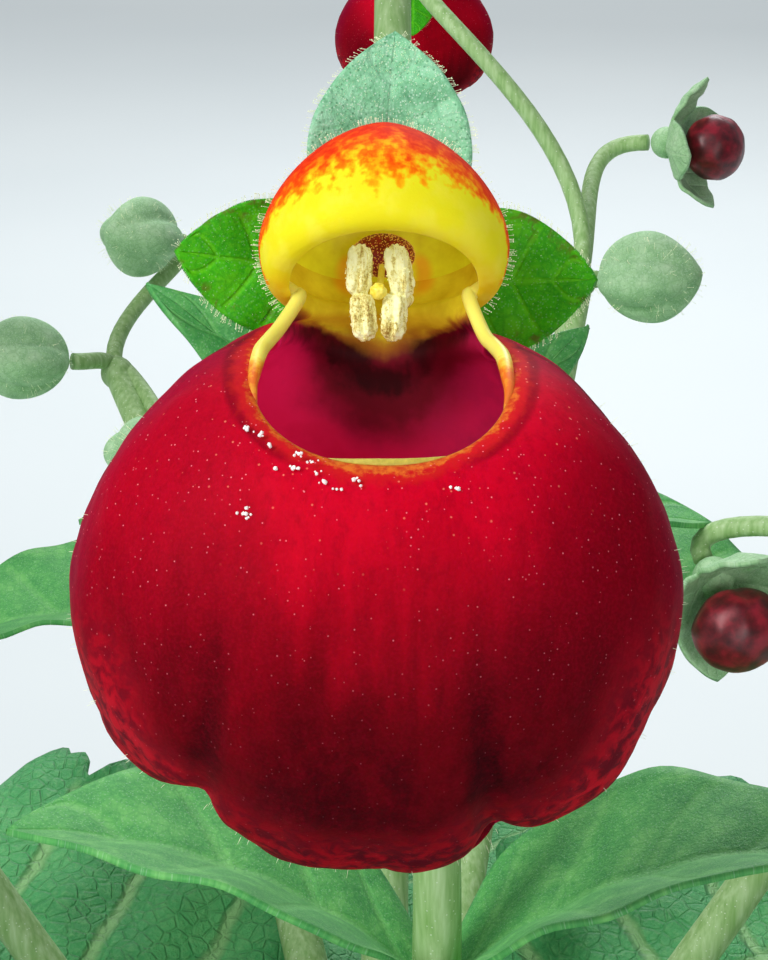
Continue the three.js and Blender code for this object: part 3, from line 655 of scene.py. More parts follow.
def pouch_skin(own):
    """Crimson that darkens towards the bottom, partly its own deeper colour and partly painted shade. It has
    painted shade at its sides, in its pleats, under its lip and along its outline, a blotched margin lit in
    part by painted light through its thin edge, pale dots that are painted glints of tiny hairs, and an orange
    lip.
    """
    x, y, z = own.parts()
    aside = abs(x)
    edge = abs(own.nodes.mark("edge"))
    lip = own.nodes.mark("lip")
    cloud = own.noise(0.2, 4)
    # Darker towards the bottom: partly the pouch's own deeper colour, partly painted shade where the skin turns
    # down.
    tone = z.span(-28, -2) + cloud.sway(0.04) + own.stretched(1, 1, 0.14).noise(0.9).sway(0.05)
    # Painted shade in the pleats' hollows and a painted highlight on the swellings beside them.
    colour = (tone - own.nodes.mark("fold") * 0.22).ramp(
        (0, "#2C0004"), (0.1, "#400006"), (0.3, "#62010B"), (0.52, "#A00017"), (0.74, "#C80122"),
        (1, "#CC0328"))
    # Painted shade towards both sides, more on the right.
    colour = colour.toward("#50010C", painted_side_shade(x, z))
    # Painted shade along the lower outline, where the skin turns away.
    colour = colour.toward("#6A0634", edge.span(0.36, 0.04, 0, 0.55) * z.span(-20, -13))
    velvet = own.stretched(1, 1, 0.6).noise(2.2, 5, 0.7)
    colour = colour.toward("#6E0216", velvet.span(0.42, 0.7, 0, 0.26))
    grain = own.noise(6, 2)
    colour = colour.toward("#E01236", grain.span(0.35, 0.75) * z.span(-24, -10, 0.03, 0.13))
    # A lighter margin band low down: partly its own colour, partly painted light shining through the thin edge.
    margin = (edge + cloud.span(0.2, 0.8, -0.06, 0.06)).span(0.5, 0.24) * z.span(-13, -19)
    rosy = aside.span(6, 10).ramp((0, "#A00A1C"), (1, "#BE1024"))
    colour = colour.toward(rosy, margin * 0.75)
    colour = colour.toward("#300414", own.mottle(1.1, 0.5, 0.12) * margin * 0.8)
    # A thin painted shade right on the outline.
    colour = colour.toward("#5A0512", edge.span(0.05, 0) * 0.7)
    # Painted shade in the crease just below the rolled lip.
    painted_crease_shade = abs(lip - 0.95).span(0.4, 0.08) * aside.span(3, 5)
    colour = colour.toward("#5A0010", painted_crease_shade * 0.5)
    front = aside.span(4.2, 1.5) * y.span(-8, -11)
    flush = lip + own.noise(1.6, 4, 0.65).sway(0.22) - front * 0.45
    colour = colour.toward("#C8201A", flush.span(1.1, 0.3, 0, 0.7))
    orange = own.noise(3).ramp((0.35, "#C8421E"), (0.6, "#DE7228"))
    colour = colour.toward(orange, flush.span(0.36, 0.04))
    # Pale dots: painted glints of tiny glandular hairs, more of them higher up, with small bumps of their own.
    dots = own.dots(2.7, 0.13, 0.75)
    colour = colour.toward("#F58A98", dots * (z.span(-24, -6, 0.1, 0.85) * velvet.span(0.35, 0.6, 0.25, 1)))
    colour = colour.toward("#F0806A", own.dots(1.7, 0.12, 0.7) * lip.span(7, 2, 0, 0.6))
    return colour, grain + dots * 0.6


def orange_arcs(own, colour):
    """A soft orange arc on each side of the stamens, on the floor of the hood."""
    x, _, z = own.parts()
    up = abs(z - 1.3)
    near = abs(abs(x) + up ** 2 * 0.35 - 2.2).span(0.7, 0.1, 0, 0.6)
    return colour.toward("#E08414", near * up.span(1.4, 0.6))


def warm_corners(own, colour):
    """Turns a yellow to orange in the hood's two lower corners."""
    x, _, z = own.parts()
    return colour.toward("#E88A10", abs(x).span(3.2, 5.4) * z.span(1.8, -0.8) * 0.6)


def throat_edge(x, z):
    """How far above the edge of the throat's yellow a place is, in millimetres: it ends in a tongue."""
    return z + 3.0 - abs(x) * 0.44


def crimson_lining(own):
    """Magenta crimson, lighter on its left as painted light and darker on its right as painted shade, clouded
    with maroon below the throat, darkest round its tongue.
    """
    x, _, z = own.parts()
    aside = abs(x)
    cloud = own.noise(0.45, 4)
    # Painted light: lighter on the left and darker on the right.
    colour = (x.span(-6, 6) + cloud.sway(0.2)).ramp((0, "#D41C5A"), (0.5, "#BC1246"), (1, "#96103C"))
    around = (aside ** 2 + abs(z + 2.5) ** 2).math("SQRT") + cloud.sway(0.5)
    bow = abs(around - 1.95).span(1.4, 0.2) * x.span(-1, 2.4, 1, 0.72)
    fringe = throat_edge(x, z).span(-1.9, -0.4, 0, 0.75) * aside.span(1.5, 2.4)
    dark = bow.math("MAXIMUM", fringe) + own.stretched(1, 1, 0.4).noise(0.9, 4, 0.5).sway(0.22)
    colour = colour.toward("#520612", around.span(5.4, 3, 0, 0.92))
    return colour.toward("#250306", dark.span(0.25, 1, 0, 0.9))


def pouch_lining(own):
    return crimson_lining(own), own.noise(3)


def pouch_rim(own):
    """The cut of the lip: orange all round, greenish yellow in front."""
    x, y, _ = own.parts()
    colour = own.noise(1.6).ramp((0.3, "#D5421E"), (0.7, "#EE9038"))
    return colour.toward("#B9AE3C", abs(x).span(3.2, 2) * y.span(-4, -8)), own.noise(5)


def hood_skin(own):
    """Clear yellow with a mottled orange brow and a thin red edge."""
    band = own.nodes.mark("band")
    streaks = own.stretched(1.2, 0.6, 0.45).noise(1, 4, distortion=0.2)
    tone = band + streaks.sway(0.14) + own.noise(2.2, 2, 0.5).sway(0.14)
    colour = warm_corners(own, tone.ramp(
        (0, "#C01A06"), (0.35, "#D82C04"), (0.55, "#E64A04"), (0.72, "#EC7A06"), (0.86, "#EAAC10"),
        (1, "#DED61E")))
    pale = own.noise(0.7).span(0.4, 0.65) * tone.span(0.9, 1.4)
    colour = colour.toward("#E6DC58", pale * 0.3)
    return colour.toward("#C41A08", band.span(0.2, 0.02)), own.noise(6)


def hood_lining(own):
    """Olive yellow, with the orange arcs and corners."""
    colour = own.noise(0.7).ramp((0.25, "#C6B80E"), (0.75, "#DEDA20"))
    return warm_corners(own, orange_arcs(own, colour)), own.noise(5)


def hood_rim(own):
    return warm_corners(own, own.noise(1.2).ramp((0.3, "#DCD01C"), (0.7, "#E8E034"))), own.noise(6)


def strap_skin(own):
    """Yellow above, running into orange where it meets the pouch."""
    _, _, z = own.parts()
    tone = z.span(-4.1, -2.7) + own.noise(2).sway(0.2)
    return tone.ramp((0, "#DE6A1C"), (0.3, "#EFAA2A"), (0.75, "#F0E468")), own.noise(5)


def throat_skin(own):
    """Olive yellow that runs down through ochre into the crimson of the pouch, lowest in the middle."""
    x, _, z = own.parts()
    above = throat_edge(x, z) + own.noise(0.9).sway(0.16)
    above = above / abs(x).span(2.8, 0.8, 0.4, 1)
    colour = orange_arcs(own, own.noise(0.8).ramp((0.3, "#C0A418"), (0.7, "#DAC628")))
    colour = colour.toward("#9A641C", above.span(1.7, 0.5))
    return colour.toward(crimson_lining(own), above.span(0.9, -0.4)), own.noise(5)


def pollen_sac(own):
    """Powdery, with painted highlights in cream along its ridges, painted shade in ochre in its grooves, and a
    little painted shade on the lower sacs.
    """
    _, _, z = own.parts()
    grain = own.noise(6, 4, 0.7)
    ridges = own.stretched(1, 1, 0.25).noise(2.6)
    # Painted highlight and painted shade: cream on the ridges, ochre in the grooves, a little darker on the
    # lower sacs.
    tone = grain * 0.4 + ridges * 0.6 - z.span(0.2, -0.6, 0, 0.05)
    return tone.ramp((0.35, "#96762A"), (0.43, "#D2C878"), (0.52, "#EFF0B8")), grain


def young_skin(own):
    """The dark crimson of a pouch that is still folded in its bud."""
    tone = own.noise(0.6, 4).span(0.3, 0.7)
    return tone.ramp((0, "#3C0612"), (0.6, "#6E0A1E"), (1, "#94122B")), own.noise(4)


def clouded(scale, *stops, relief=None, detail=3.0, rough=0.55):
    """Soft clouds in the colours of `stops`. Its relief is a noise of its own, none at 0, or the clouds."""

    def paint(own):
        clouds = own.noise(scale, detail, rough)
        height = clouds if relief is None else relief and own.noise(relief)
        return clouds.ramp(*stops), height

    return paint


# ------------------------------------------------------------------ finishes of the leaves, stems and pot


def sepal_face(base, deep, light, felt, ribs=0.5, scorched=0.0):
    """A sepal's green: net veins, with felt a bloom of short hairs, and scorched spots near its edges."""

    def paint(own):
        uv = own.nodes.add("ShaderNodeUVMap", uv_map="UVMap")
        veins, net = own.effect(VEINS, uv, 4.5, 0.81, 1.1)
        fine = own.noise(5.5, 3, 0.7)
        colour = own.noise(0.5, 4).ramp((0.25, deep), (0.5, base), (0.8, light))
        colour = colour.toward(light, fine.span(0.4, 0.7, 0, 0.4)).toward(light, veins * ribs)
        colour = colour.toward(deep, net * 0.3).toward("#D2EEDB", own.dots(5.5, 0.32, 0.85) * felt)
        colour = colour.toward(deep, own.dots(3.6, 0.28, 0.8) * (1.2 * felt))
        across, _, _ = uv.parts()
        near_edge = abs(across * 2 - 1).span(0.45, 0.95, 0, scorched)
        return colour.toward("#5E4A1C", own.mottle(1.4, 0.42, 0.08) * near_edge), fine + veins * (-3 * ribs)

    return paint


def leaf_face(own):
    """A rosette leaf: mid green, puckered between pale sunken veins."""
    uv = own.nodes.add("ShaderNodeUVMap", uv_map="UVMap")
    uv = own.nodes.add("ShaderNodeMapping", {"Vector": uv, "Location": (0, -0.25, 0), "Scale": (1, 1.25, 1)})
    veins, net = own.effect(VEINS, uv, 6.0, 0.7, 0.8)
    fine = own.noise(2.2, 4, 0.7)
    colour = own.noise(0.12, 4).ramp((0.25, "#2C8446"), (0.5, "#3FA15A"), (0.8, "#66BC72"))
    colour = colour.toward("#8CC782", fine.span(0.4, 0.75, 0, 0.35)).toward("#A5CF8C", veins * 0.6)
    return colour.toward("#2A7B40", net * 0.1), fine - net * 0.45 - veins * 1.6


def stem_skin(own):
    """Pale green with fine lengthwise streaks and a scatter of pale hair bases."""
    streaks = own.stretched(1, 1, 0.1).noise(2.4)
    dots = own.dots(3, 0.2, 0.6)
    colour = streaks.ramp((0.3, "#7FA95F"), (0.55, "#9DBF82"), (0.8, "#B9D3A2"))
    return colour.toward("#E4F0D8", dots * 0.6), streaks + dots


def crown_skin(own):
    """Woody brown and olive, scarred across."""
    scars = own.stretched(0.5, 0.5, 2.2).noise(1.2, 5, 0.65)
    return scars.ramp((0.25, "#5B4A2C"), (0.5, "#7D7A44"), (0.8, "#94A45E")), scars


def clay(own):
    """Fired clay with sandy specks, cloudy tones and a chalky bloom low down and under the rim."""
    _, _, z = own.parts()
    grain = own.noise(2.6, 4, 0.75)
    colour = own.noise(0.035, 5).ramp((0.25, "#A3552F"), (0.55, "#BB6A40"), (0.85, "#CC8159"))
    colour = colour.toward("#D9A17E", grain.span(0.55, 0.8, 0, 0.5))
    under_rim = z.span(SHOULDER - 11, SHOULDER - 2) * z.span(SHOULDER + 2, SHOULDER)
    chalk = own.mottle(0.07, 0.45, 0.12) * z.span(34, 4).math("MAXIMUM", under_rim)
    colour = colour.toward("#E3CDB8", chalk * 0.55).toward("#7E3D20", own.dots(0.9, 0.2, 0.4) * 0.5)
    return colour, grain + own.stretched(0.02, 0.02, 0.6).noise(1, 2) * 1.5


PETAL = {"Subsurface_Weight": 0.5, "Subsurface_Radius": (1.0, 0.6, 0.35), "Subsurface_Scale": 1.2 * MM}

# Where a finish has a sixth value, it is its painted glow: painted light, as in finish().
PAINT = Form(
    pouch=finish("crimson pouch", pouch_skin, 0.6, 0.4, 0.03, Specular_IOR_Level=0.03, **PETAL),
    pouch_lining=finish("magenta lining", pouch_lining, 0.6, 0.4, 0.03, 0.3, Specular_IOR_Level=0.1, **PETAL),
    pouch_rim=finish("orange lip", pouch_rim, 0.45, 0.4, 0.03, **PETAL),
    hood=finish("yellow hood", hood_skin, 0.6, 0.4, 0.02, 0.12, Specular_IOR_Level=0.04, **PETAL),
    hood_lining=finish("olive lining", hood_lining, 0.5, 0.4, 0.02, 0.25, **PETAL),
    hood_rim=finish("yellow lip", hood_rim, 0.45, 0.4, 0.02, **PETAL),
    crescent=finish("pale inner lip", clouded(
        2.5, (0.3, "#A89A34"), (0.7, "#D2C24E"), relief=6), 0.45, 0.4, 0.02, 0.1, **PETAL),
    strap=finish("yellow strap", strap_skin, 0.4, 0.4, 0.02, 0.1, **PETAL),
    throat=finish("olive throat", throat_skin, 0.6, 0.4, 0.02, 0.2, Specular_IOR_Level=0.1, **PETAL),
    pollen=finish("pollen sac", pollen_sac, 0.8, 0.8, 0.05, 0.25),
    pistil=finish("maroon ovary", clouded(5, (0.3, "#5A070A"), (0.7, "#861418")), 0.5, 0.5, 0.03, 0.3),
    gland=finish("golden glands", clouded(3, (0.3, "#C78A2A"), (0.7, "#EBC65A"), relief=0), 0.35, painted_glow=0.25),
    stigma=finish("yellow stigma", clouded(
        4, (0.3, "#E6CF30"), (0.7, "#F7EC6A"), relief=9), 0.35, 0.4, 0.02, 0.15),
    hair=finish("pale hairs", clouded(1, (0.3, "#CFDDB0"), (0.7, "#EDEFD2"), relief=0), 0.6, painted_glow=0.3),
    crumb=finish("pollen crumbs", clouded(6, (0.3, "#F2DCD8"), (0.6, "#FFFFFF"), relief=12), 0.7, 0.5, 0.02),
    sepal=finish("green sepal", sepal_face(
        "#35AC02", "#228804", "#66CC10", 0.1, scorched=0.7), 0.55, 0.7, 0.06, Specular_IOR_Level=0.2),
    sepal_pale=finish("felted sepal", sepal_face(
        "#82CC9A", "#4F966A", "#B0E8C6", 0.6, 0.15), 0.75, 1.0, 0.12),
    bract=finish("stem leaf", sepal_face("#46A04C", "#2F8A42", "#7CC86C", 0.15, 0.35), 0.6, 0.7, 0.1),
    bud=finish("felted bud", sepal_face("#9CCB94", "#7BB07A", "#C6E4BE", 0.4, 0.3), 0.7, 0.7, 0.08),
    young_pouch=finish("young pouch", young_skin, 0.4, 0.3, 0.03),
    leaf=finish("rosette leaf", leaf_face, 0.55, 0.9, 0.35),
    stem=finish("pale stem", stem_skin, 0.6, 0.5, 0.05),
    crown=finish("woody foot", crown_skin, 0.85, 0.9, 0.3),
    clay=finish("fired clay", clay, 0.9, 0.6, 0.12),
    soil=finish("dark soil", clouded(
        1.3, (0.3, "#1C130D"), (0.55, "#3A281B"), (0.75, "#5C432E"), detail=6, rough=0.75), 1.0, 1.0, 0.3),
    perlite=finish("white grains", clouded(2.5, (0.3, "#BDB7A8"), (0.6, "#EDEAE2"), detail=4), 0.9, 0.8, 0.1),
    floor=finish("pale floor", clouded(3, (0.3, "#DCE2E3"), (0.7, "#E3E8E8"), relief=0), 0.9),
)

# ------------------------------------------------------------------ bags


def apart(turn, angle):
    """How far a turn is from an angle, from -180 to 180 degrees."""
    return (turn - angle + 540) % 360 - 180


def turn_and_depth(way):
    """Where a direction points, in degrees: round from the top to the right, and back from the seam."""
    return degrees(atan2(way.x, way.z)), degrees(atan2(way.y, hypot(way.x, way.z)))


def way_at(turn, depth):
    """The direction at a turn and a depth."""
    turn, depth = radians(turn), radians(depth)
    return Vector((sin(turn) * cos(depth), sin(depth), cos(turn) * cos(depth)))


def bag_point(bag, way):
    """The point on a bag's skin in the direction `way` from its centre."""
    turn = atan2(way.x, way.z)
    depth = atan2(way.y, hypot(way.x, way.z))
    height, power = bag.up if way.z > 0 else bag.down
    wide, high = abs(sin(turn)) / bag.half_width, abs(cos(turn)) / height
    outline = (wide ** power + high ** power) ** (-1 / power)
    notch = sum(share * exp(-abs(apart(degrees(turn), angle)) / width) for angle, share, width in bag.notches)
    reach = outline * max(0.0, cos(depth)) ** bag.fullness * (1 - notch * exp(-(depth / 0.4) ** 2))
    half = bag.front if way.y < 0 else bag.back
    seam = 1 + (bag.seam - 1) * min(1, max(0, -3 * way.z))
    thick = half * abs(sin(depth)) ** seam
    skin = Vector((reach * sin(turn), thick if depth > 0 else -thick, reach * cos(turn)))
    if bag.neck:
        away = acos(min(1, way.dot(bag.neck.way.normalized())))
        skin += way * bag.neck.rise * exp(-(away / bag.neck.spread) ** 2)
    return skin + bag.centre


def bag_way(bag, u, v):
    """The direction from a bag's centre to its skin at u round the mouth and v from the mouth's edge."""
    axis = bag.mouth.way.normalized()
    ahead = (FRONT + axis * axis.y).normalized()
    right = axis.cross(ahead)
    around = 2 * pi * u
    end, corner = bag.mouth.front if cos(around) > 0 else bag.mouth.back
    opening = radians(bag.mouth.side + (end - bag.mouth.side) * abs(cos(around)) ** corner)
    polar = opening + (pi - opening) * v
    return axis * cos(polar) + (ahead * cos(around) + right * sin(around)) * sin(polar)


def bag_skin(bag, crowd=1.0, relief=None):
    """A bag's skin as place(u, v). More `crowd` draws its rows to the mouth, and relief(way) raises it."""

    def place(u, v):
        v = v ** crowd
        way = bag_way(bag, u, v)
        curl = max(0.0, 1 - v / ROLL_SHARE)
        rise = relief(way) if relief else 0.0
        rolled = bag.mouth.roll * (1 - sqrt(1 - 0.96 * curl * curl))
        return bag_point(bag, way) + way * (rise * min(1.0, v / ROLL_SHARE) - rolled)

    return place


def under(bag, u, v, depth):
    """The point at u and v on a bag, so deep under its skin."""
    way = bag_way(bag, u, v)
    return bag_point(bag, way) - way * depth


def grow_bag(one, kind, bag, skin, grid, marks):
    """A flower's pouch or hood: its skin, its lined wall and its rounded rim."""
    finishes = [getattr(PAINT, kind + side) for side in ("", "_lining", "_rim")]
    bm = sheet(skin, *grid, wrap=True, marks=marks)
    piece = grow(one, f"{kind}_skin", bm, finishes, kind, wall=bag.wall, offset=-1.0)
    round_edges(piece, width=RIM_ROUNDING * one.size, angle=50)


def pouch_fold(way):
    """1 in a pleat's hollow and less than 0 on the swelling that lies beside it, towards the middle. It shapes
    the relief, and gives the crimson painted shade in the hollow and a painted highlight on the swelling.
    """
    if way.y > 0:
        return 0.0
    point = bag_point(POUCH, way)
    fold = 0.0
    for (x, z), slant, height, strength in PLEATS:
        up = point.z - z
        fade = strength * max(0.0, 1 - abs(up) / height)
        away = point.x - x - slant * up
        inward = away if x < 0 else -away
        fold += fade * (exp(-(away / 0.75) ** 2) - 0.45 * exp(-((inward - 1.9) / 1.3) ** 2))
    return fold


def pouch_relief(way):
    """Notches that run on as dents, pleats, soft folds down the front and slow dents, in millimetres."""
    turn, depth = turn_and_depth(way)
    rise = -0.3 * pouch_fold(way)
    for angle, share, width in POUCH.notches[:2]:
        fade = exp(-((depth + 12) / 34) ** 2)
        rise -= 3.4 * share * exp(-(apart(turn, angle) / (1.5 * width)) ** 2) * fade
    low = max(0.0, -way.z)
    rise += 0.1 * low * sin(radians(turn) * 15 + 2 * noise.noise(way * 2)) * cos(radians(depth)) ** 0.5
    return rise + 0.22 * noise.noise(way * 3.1) + 0.07 * noise.noise(way * 9)


def pouch(one, grid):
    marks = {
        "edge": lambda u, v: turn_and_depth(bag_way(POUCH, u, v ** CROWD))[1] / 90,
        "lip": lambda u, v: POUCH_DOWN * v ** CROWD,
        "fold": lambda u, v: pouch_fold(bag_way(POUCH, u, v ** CROWD)),
    }
    grow_bag(one, "pouch", POUCH, bag_skin(POUCH, CROWD, pouch_relief), grid, marks)


def hood_band(u, v):
    """0 on the hood's edge, 1 where its red brow ends and more below it."""
    turn, depth = turn_and_depth(bag_way(HOOD, u, v ** CROWD))
    reach = HOOD_BROW * max(0.16, cos(radians(min(100, abs(turn)) * 0.84))) if depth < 0 else 75
    return max(abs(depth) / reach, (abs(turn) - 96) / 14)


def hood(one, grid):
    grow_bag(one, "hood", HOOD, bag_skin(HOOD, CROWD), grid, {"band": hood_band})


def straps(one, steps, sides):
    """The two straps from the hood's corners, which run out along the pouch's lip, with small glands."""
    rng = Random(11)
    parts = []
    for side in (-1, 1):
        route = [under(HOOD, 0.5 + side * STRAP.hood_share, v, depth) for v, depth in STRAP.hood]
        route += [under(POUCH, 0.5 - side * (0.5 - u), v, depth) for u, v, depth in STRAP.run]
        line = flowing(route, steps)
        parts.append(rod(line, lambda t: STRAP.radius * (1 + 0.3 * t) * (1 - t ** 6) + 0.02, sides))
        beads = []
        for point in line[len(line) // 8:len(line) * 3 // 4]:
            inner = Vector((-side, -0.4, rng.uniform(-0.6, 0.6))).normalized()
            beads.append((point + inner * STRAP.radius * 0.9, rng.uniform(0.03, 0.06)))
        parts.append(crumbs(beads))
    grow(one, "straps", joined(parts), [PAINT.strap])


def lip_crescent(one):
    """The thin pale inner edge that stands up from the front of the pouch's lip."""
    lip = bag_skin(POUCH)

    def place(u, v):
        rise = 0.3 * (1 - (2 * u - 1) ** 2) * (1.12 * v - 0.12)
        return lip(0.085 * u - 0.036, 0.0) + Vector((0, 0.25, 0.97)) * rise

    grow(one, "lip_crescent", sheet(place, 40, 3), [PAINT.crescent], wall=CRESCENT_WALL)


def pollen_crumbs(one):
    rng = Random(17)
    spots = []
    for way in (way_at(*fallen) for fallen in POLLEN):
        for _ in range(rng.choice((2, 3, 5))):
            stray = Vector((rng.gauss(0, 0.11), 0, rng.gauss(0, 0.045)))
            spots.append((bag_point(POUCH, way) + way * pouch_relief(way) + stray, rng.uniform(0.04, 0.1)))
    grow(one, "pollen_crumbs", crumbs(spots, 2), [PAINT.crumb])


# ------------------------------------------------------------------ blades


def blade(start, end, half_width, face, fold, bow, wave):
    """A small ovate leaf between two points, folded along its rib and bowed to the side that it faces."""
    along = end - start
    length = along.length
    across = along.cross(face).normalized()
    out = across.cross(along).normalized()
    widest = 0.46
    root = min(0.22 * half_width, 0.95)

    def swell(v):
        return v ** 0.75 * (1 - v) ** (0.75 * (1 - widest) / widest)

    def place(u, v):
        v = min(v, 0.9999)
        half = max(root * (1 - v), half_width * swell(v) / swell(widest))
        side = 2 * u - 1
        lift = bow * length * 4 * v * (1 - v) + abs(side) * half * tan(radians(fold))
        ripple = side * side * sin(17 * v + 2 * side) + 0.4 * cos(9 * pi * (v - 0.18 * abs(side)))
        lift += wave * ripple * min(1, 6 * v) * min(1, 6 * (1 - v))
        return start.lerp(end, v) + across * side * half + out * lift

    return place


def sepal_skin(seat, root, fold, form):
    """place(u, v) of a sepal round a seat."""
    turn = radians(form.turn)
    way = Vector((sin(turn), -tan(radians(form.lean)), cos(turn))).normalized()
    return blade(seat + way * root, seat + way * form.length, form.half_width, FRONT, fold, form.bow, 0.12)


def sepal_skins():
    """place(u, v) of each of a flower's four sepals."""
    return [sepal_skin(SEPAL.seat, SEPAL.root, SEPAL.fold, form) for form in SEPALS]


def calyx(one, grid):
    grow(one, "calyx_seat", egg(SEPAL.seat, [SEPAL.receptacle] * 3), [PAINT.sepal], "calyx")
    for name, skin in zip(("top", "right", "left", "under"), sepal_skins()):
        paint = PAINT.sepal_pale if name == "top" else PAINT.sepal
        grow(one, f"calyx_{name}", sheet(skin, *grid), [paint], "calyx", wall=SEPAL.thickness)


def leaf_skin(form):
    """place(u, v) of a large leaf that grows from the origin towards +Y, and the middle line of its stalk."""
    radius = form.length / radians(form.bend)

    def swell(t):
        return t ** 0.6 * (1 - t) ** 0.66

    def arc(v, lift):
        heading = radians(form.rise - form.bend * v)
        y = radius * (sin(radians(form.rise)) - sin(heading))
        z = radius * (cos(heading) - cos(radians(form.rise)))
        return y - lift * sin(heading), z + lift * cos(heading)

    def place(u, v):
        side = 1 - 2 * u
        t = min(0.9999, max(0.0, (v - LEAF.stalk) / (1 - LEAF.stalk)))
        coarse = 2 * abs(sin(pi * LEAF.teeth * t)) - 1
        fine = 0.3 * (2 * abs(sin(3 * pi * LEAF.teeth * t)) - 1)
        tooth = 1 + LEAF.tooth_depth * (coarse + fine) * abs(side) ** 3
        wider = (form.half_width - LEAF.stalk_half_width) * swell(t) * tooth / swell(0.48)
        half = LEAF.stalk_half_width + wider
        veins = LEAF.relief * cos(pi * (2 * LEAF.teeth * t - 1.4 * abs(side)))
        wave = LEAF.ripple * side * side * sin(6 * pi * t + 1.2 * side)
        pucker = 0.5 * noise.noise(Vector((side * half * 0.28, v * form.length * 0.28, form.bearing)))
        lift = abs(side) * half * tan(radians(LEAF.fold))
        lift += min(1, 4 * t) * (veins * min(1, 7 * abs(side)) + wave + pucker)
        return Vector((side * half, *arc(v, lift)))

    stalk = [Vector((0, *arc(n / 24, -0.9))) for n in range(23)]
    return place, stalk


def large_leaf(form):
    skin, stalk = leaf_skin(form)
    bearing = radians(form.bearing)
    foot = Vector((LEAF_FOOT * cos(bearing), LEAF_FOOT * sin(bearing), form.height))
    place = Matrix.Translation(foot) @ Matrix.Rotation(bearing - pi / 2, 4, "Z")
    face = sheet(skin, 36, 100)
    settle(f"{form.name}_blade", face, [PAINT.leaf], [form.name], place, LEAF.thickness)
    rib = rod(stalk, lambda t: 1.25 - 0.95 * min(1, 1.15 * t), 10)
    settle(f"{form.name}_stalk", rib, [PAINT.stem], [form.name], place)


# ------------------------------------------------------------------ stamens, pistil and throat


def sagging(start, end):
    """A line between two points that hangs a little in the middle."""
    return flowing([start, start.lerp(end, 0.5) - Vector((0, 0, 0.3)), end], 8)


def rough_sac(point):
    """A pollen sac on the unit ball: blunt ended, of lobes side by side, with a powdery skin."""
    around = atan2(point.y, point.x)
    ring = hypot(point.x, point.y)
    blunt = (1 - abs(point.z) ** 4.5) ** 0.5 / max(0.05, ring)
    lobes = 0.09 * cos(5 * around + 1.6 * noise.noise(point * 1.5))
    slit = 0.3 * exp(-((around + pi / 2 + 0.25 * noise.noise(point * 2)) / 0.22) ** 2)
    rough = 0.1 * noise.noise(point * Vector((5, 5, 1.6))) + 0.06 * noise.noise(point * 12)
    wide = blunt * (0.92 + lobes - slit + rough) if ring > 1e-4 else 0
    return Vector((point.x * wide, point.y * wide, point.z * (1 + rough)))


def stamen(one, side_name, grains):
    """One stamen, with so many loose grains on each of its sacs, or plain with none."""
    side = -1 if side_name == "left" else 1
    sacs = STAMENS[side_name]
    root = Vector((side * STAMEN.root.x, STAMEN.root.y, STAMEN.root.z))
    rng = Random(5 + side)
    parts = [rod(sagging(root, sacs[0].at.lerp(sacs[1].at, 0.5)), lambda t: STAMEN.filament, 12)]
    for sac in sacs:
        size = Vector((STAMEN.sac_radius, STAMEN.sac_radius, sac.half))
        fineness = (48, 56) if grains else (12, 12)
        parts.append(egg(sac.at, size, *fineness, sac.lean, rough_sac))
        lean = Matrix.Rotation(radians(sac.lean), 3, "Y")
        spots = [
            (sac.at + lean @ (on_ball(rng, 0.97) * size), rng.uniform(0.025, 0.05)) for _ in range(grains)
        ]
        parts.append(crumbs(spots))
    grow(one, f"stamen_{side_name}_sacs", joined(parts), [PAINT.pollen], f"stamen_{side_name}")


def pistil(one):
    """The ovary with the glands all over it, the style and the stigma."""
    body = egg(PISTIL.at, PISTIL.size, 40, 30)
    grow(one, "pistil_ovary", body, [PAINT.pistil], "pistil")
    rng = Random(3)
    glands = [
        (PISTIL.at + on_ball(rng) * PISTIL.size, rng.uniform(0.022, 0.036)) for _ in range(PISTIL.glands)
    ]
    grow(one, "pistil_glands", crumbs(glands), [PAINT.gland])
    style = rod(sagging(PISTIL.at, PISTIL.tip), lambda t: PISTIL.style, 10)

    def shape(point):
        return point * (1 + 0.2 * noise.noise(point * 2.4))

    stigma = egg(PISTIL.tip, [PISTIL.stigma] * 3, 32, 24, 0, shape)
    grow(one, "pistil_style", joined([style, stigma]), [PAINT.stigma], "pistil")


def throat(one, columns, rows):
    """The skin that joins the hood's floor to the back of the pouch's mouth."""
    lines = []
    for n in range(columns + 1):
        side = 2 * n / columns - 1
        points = [
            under(HOOD, 0.5 + THROAT.hood_share * side, v, 0.5 + (depth - 0.5) * (1 - 0.5 * side ** 4))
            for v, depth in THROAT.hood
        ]
        points += [under(POUCH, 0.5 - THROAT.pouch_share * side, *spot) for spot in THROAT.pouch]
        lines.append(flowing(points, rows))
    last = len(lines[0]) - 1
    bm = sheet(lambda u, v: lines[round(u * columns)][round(v * last)], columns, last)
    grow(one, "throat", bm, [PAINT.throat], wall=THROAT.wall, offset=1.0)


# ------------------------------------------------------------------ buds


def closed_calyx(bud):
    """Four sepals grown edge to edge, with a ridge along each and a pointed tip towards -Y."""

    def shape(point):
        around = atan2(point.z, point.x)
        seam = 0.06 * exp(-((abs(sin(2 * around)) - 1) / 0.05) ** 2)
        ridge = 1 + BUD.ridge * cos(4 * around) - seam
        narrow = 1 - 0.35 * point.y ** 2 if point.y < 0 else 1
        return Vector((point.x * ridge * narrow, point.y, point.z * ridge * narrow))

    grow(bud, "calyx_sepals", egg((0, 0, 0), BUD_SIZE, 64, 48, 0, shape), [PAINT.bud], "calyx")


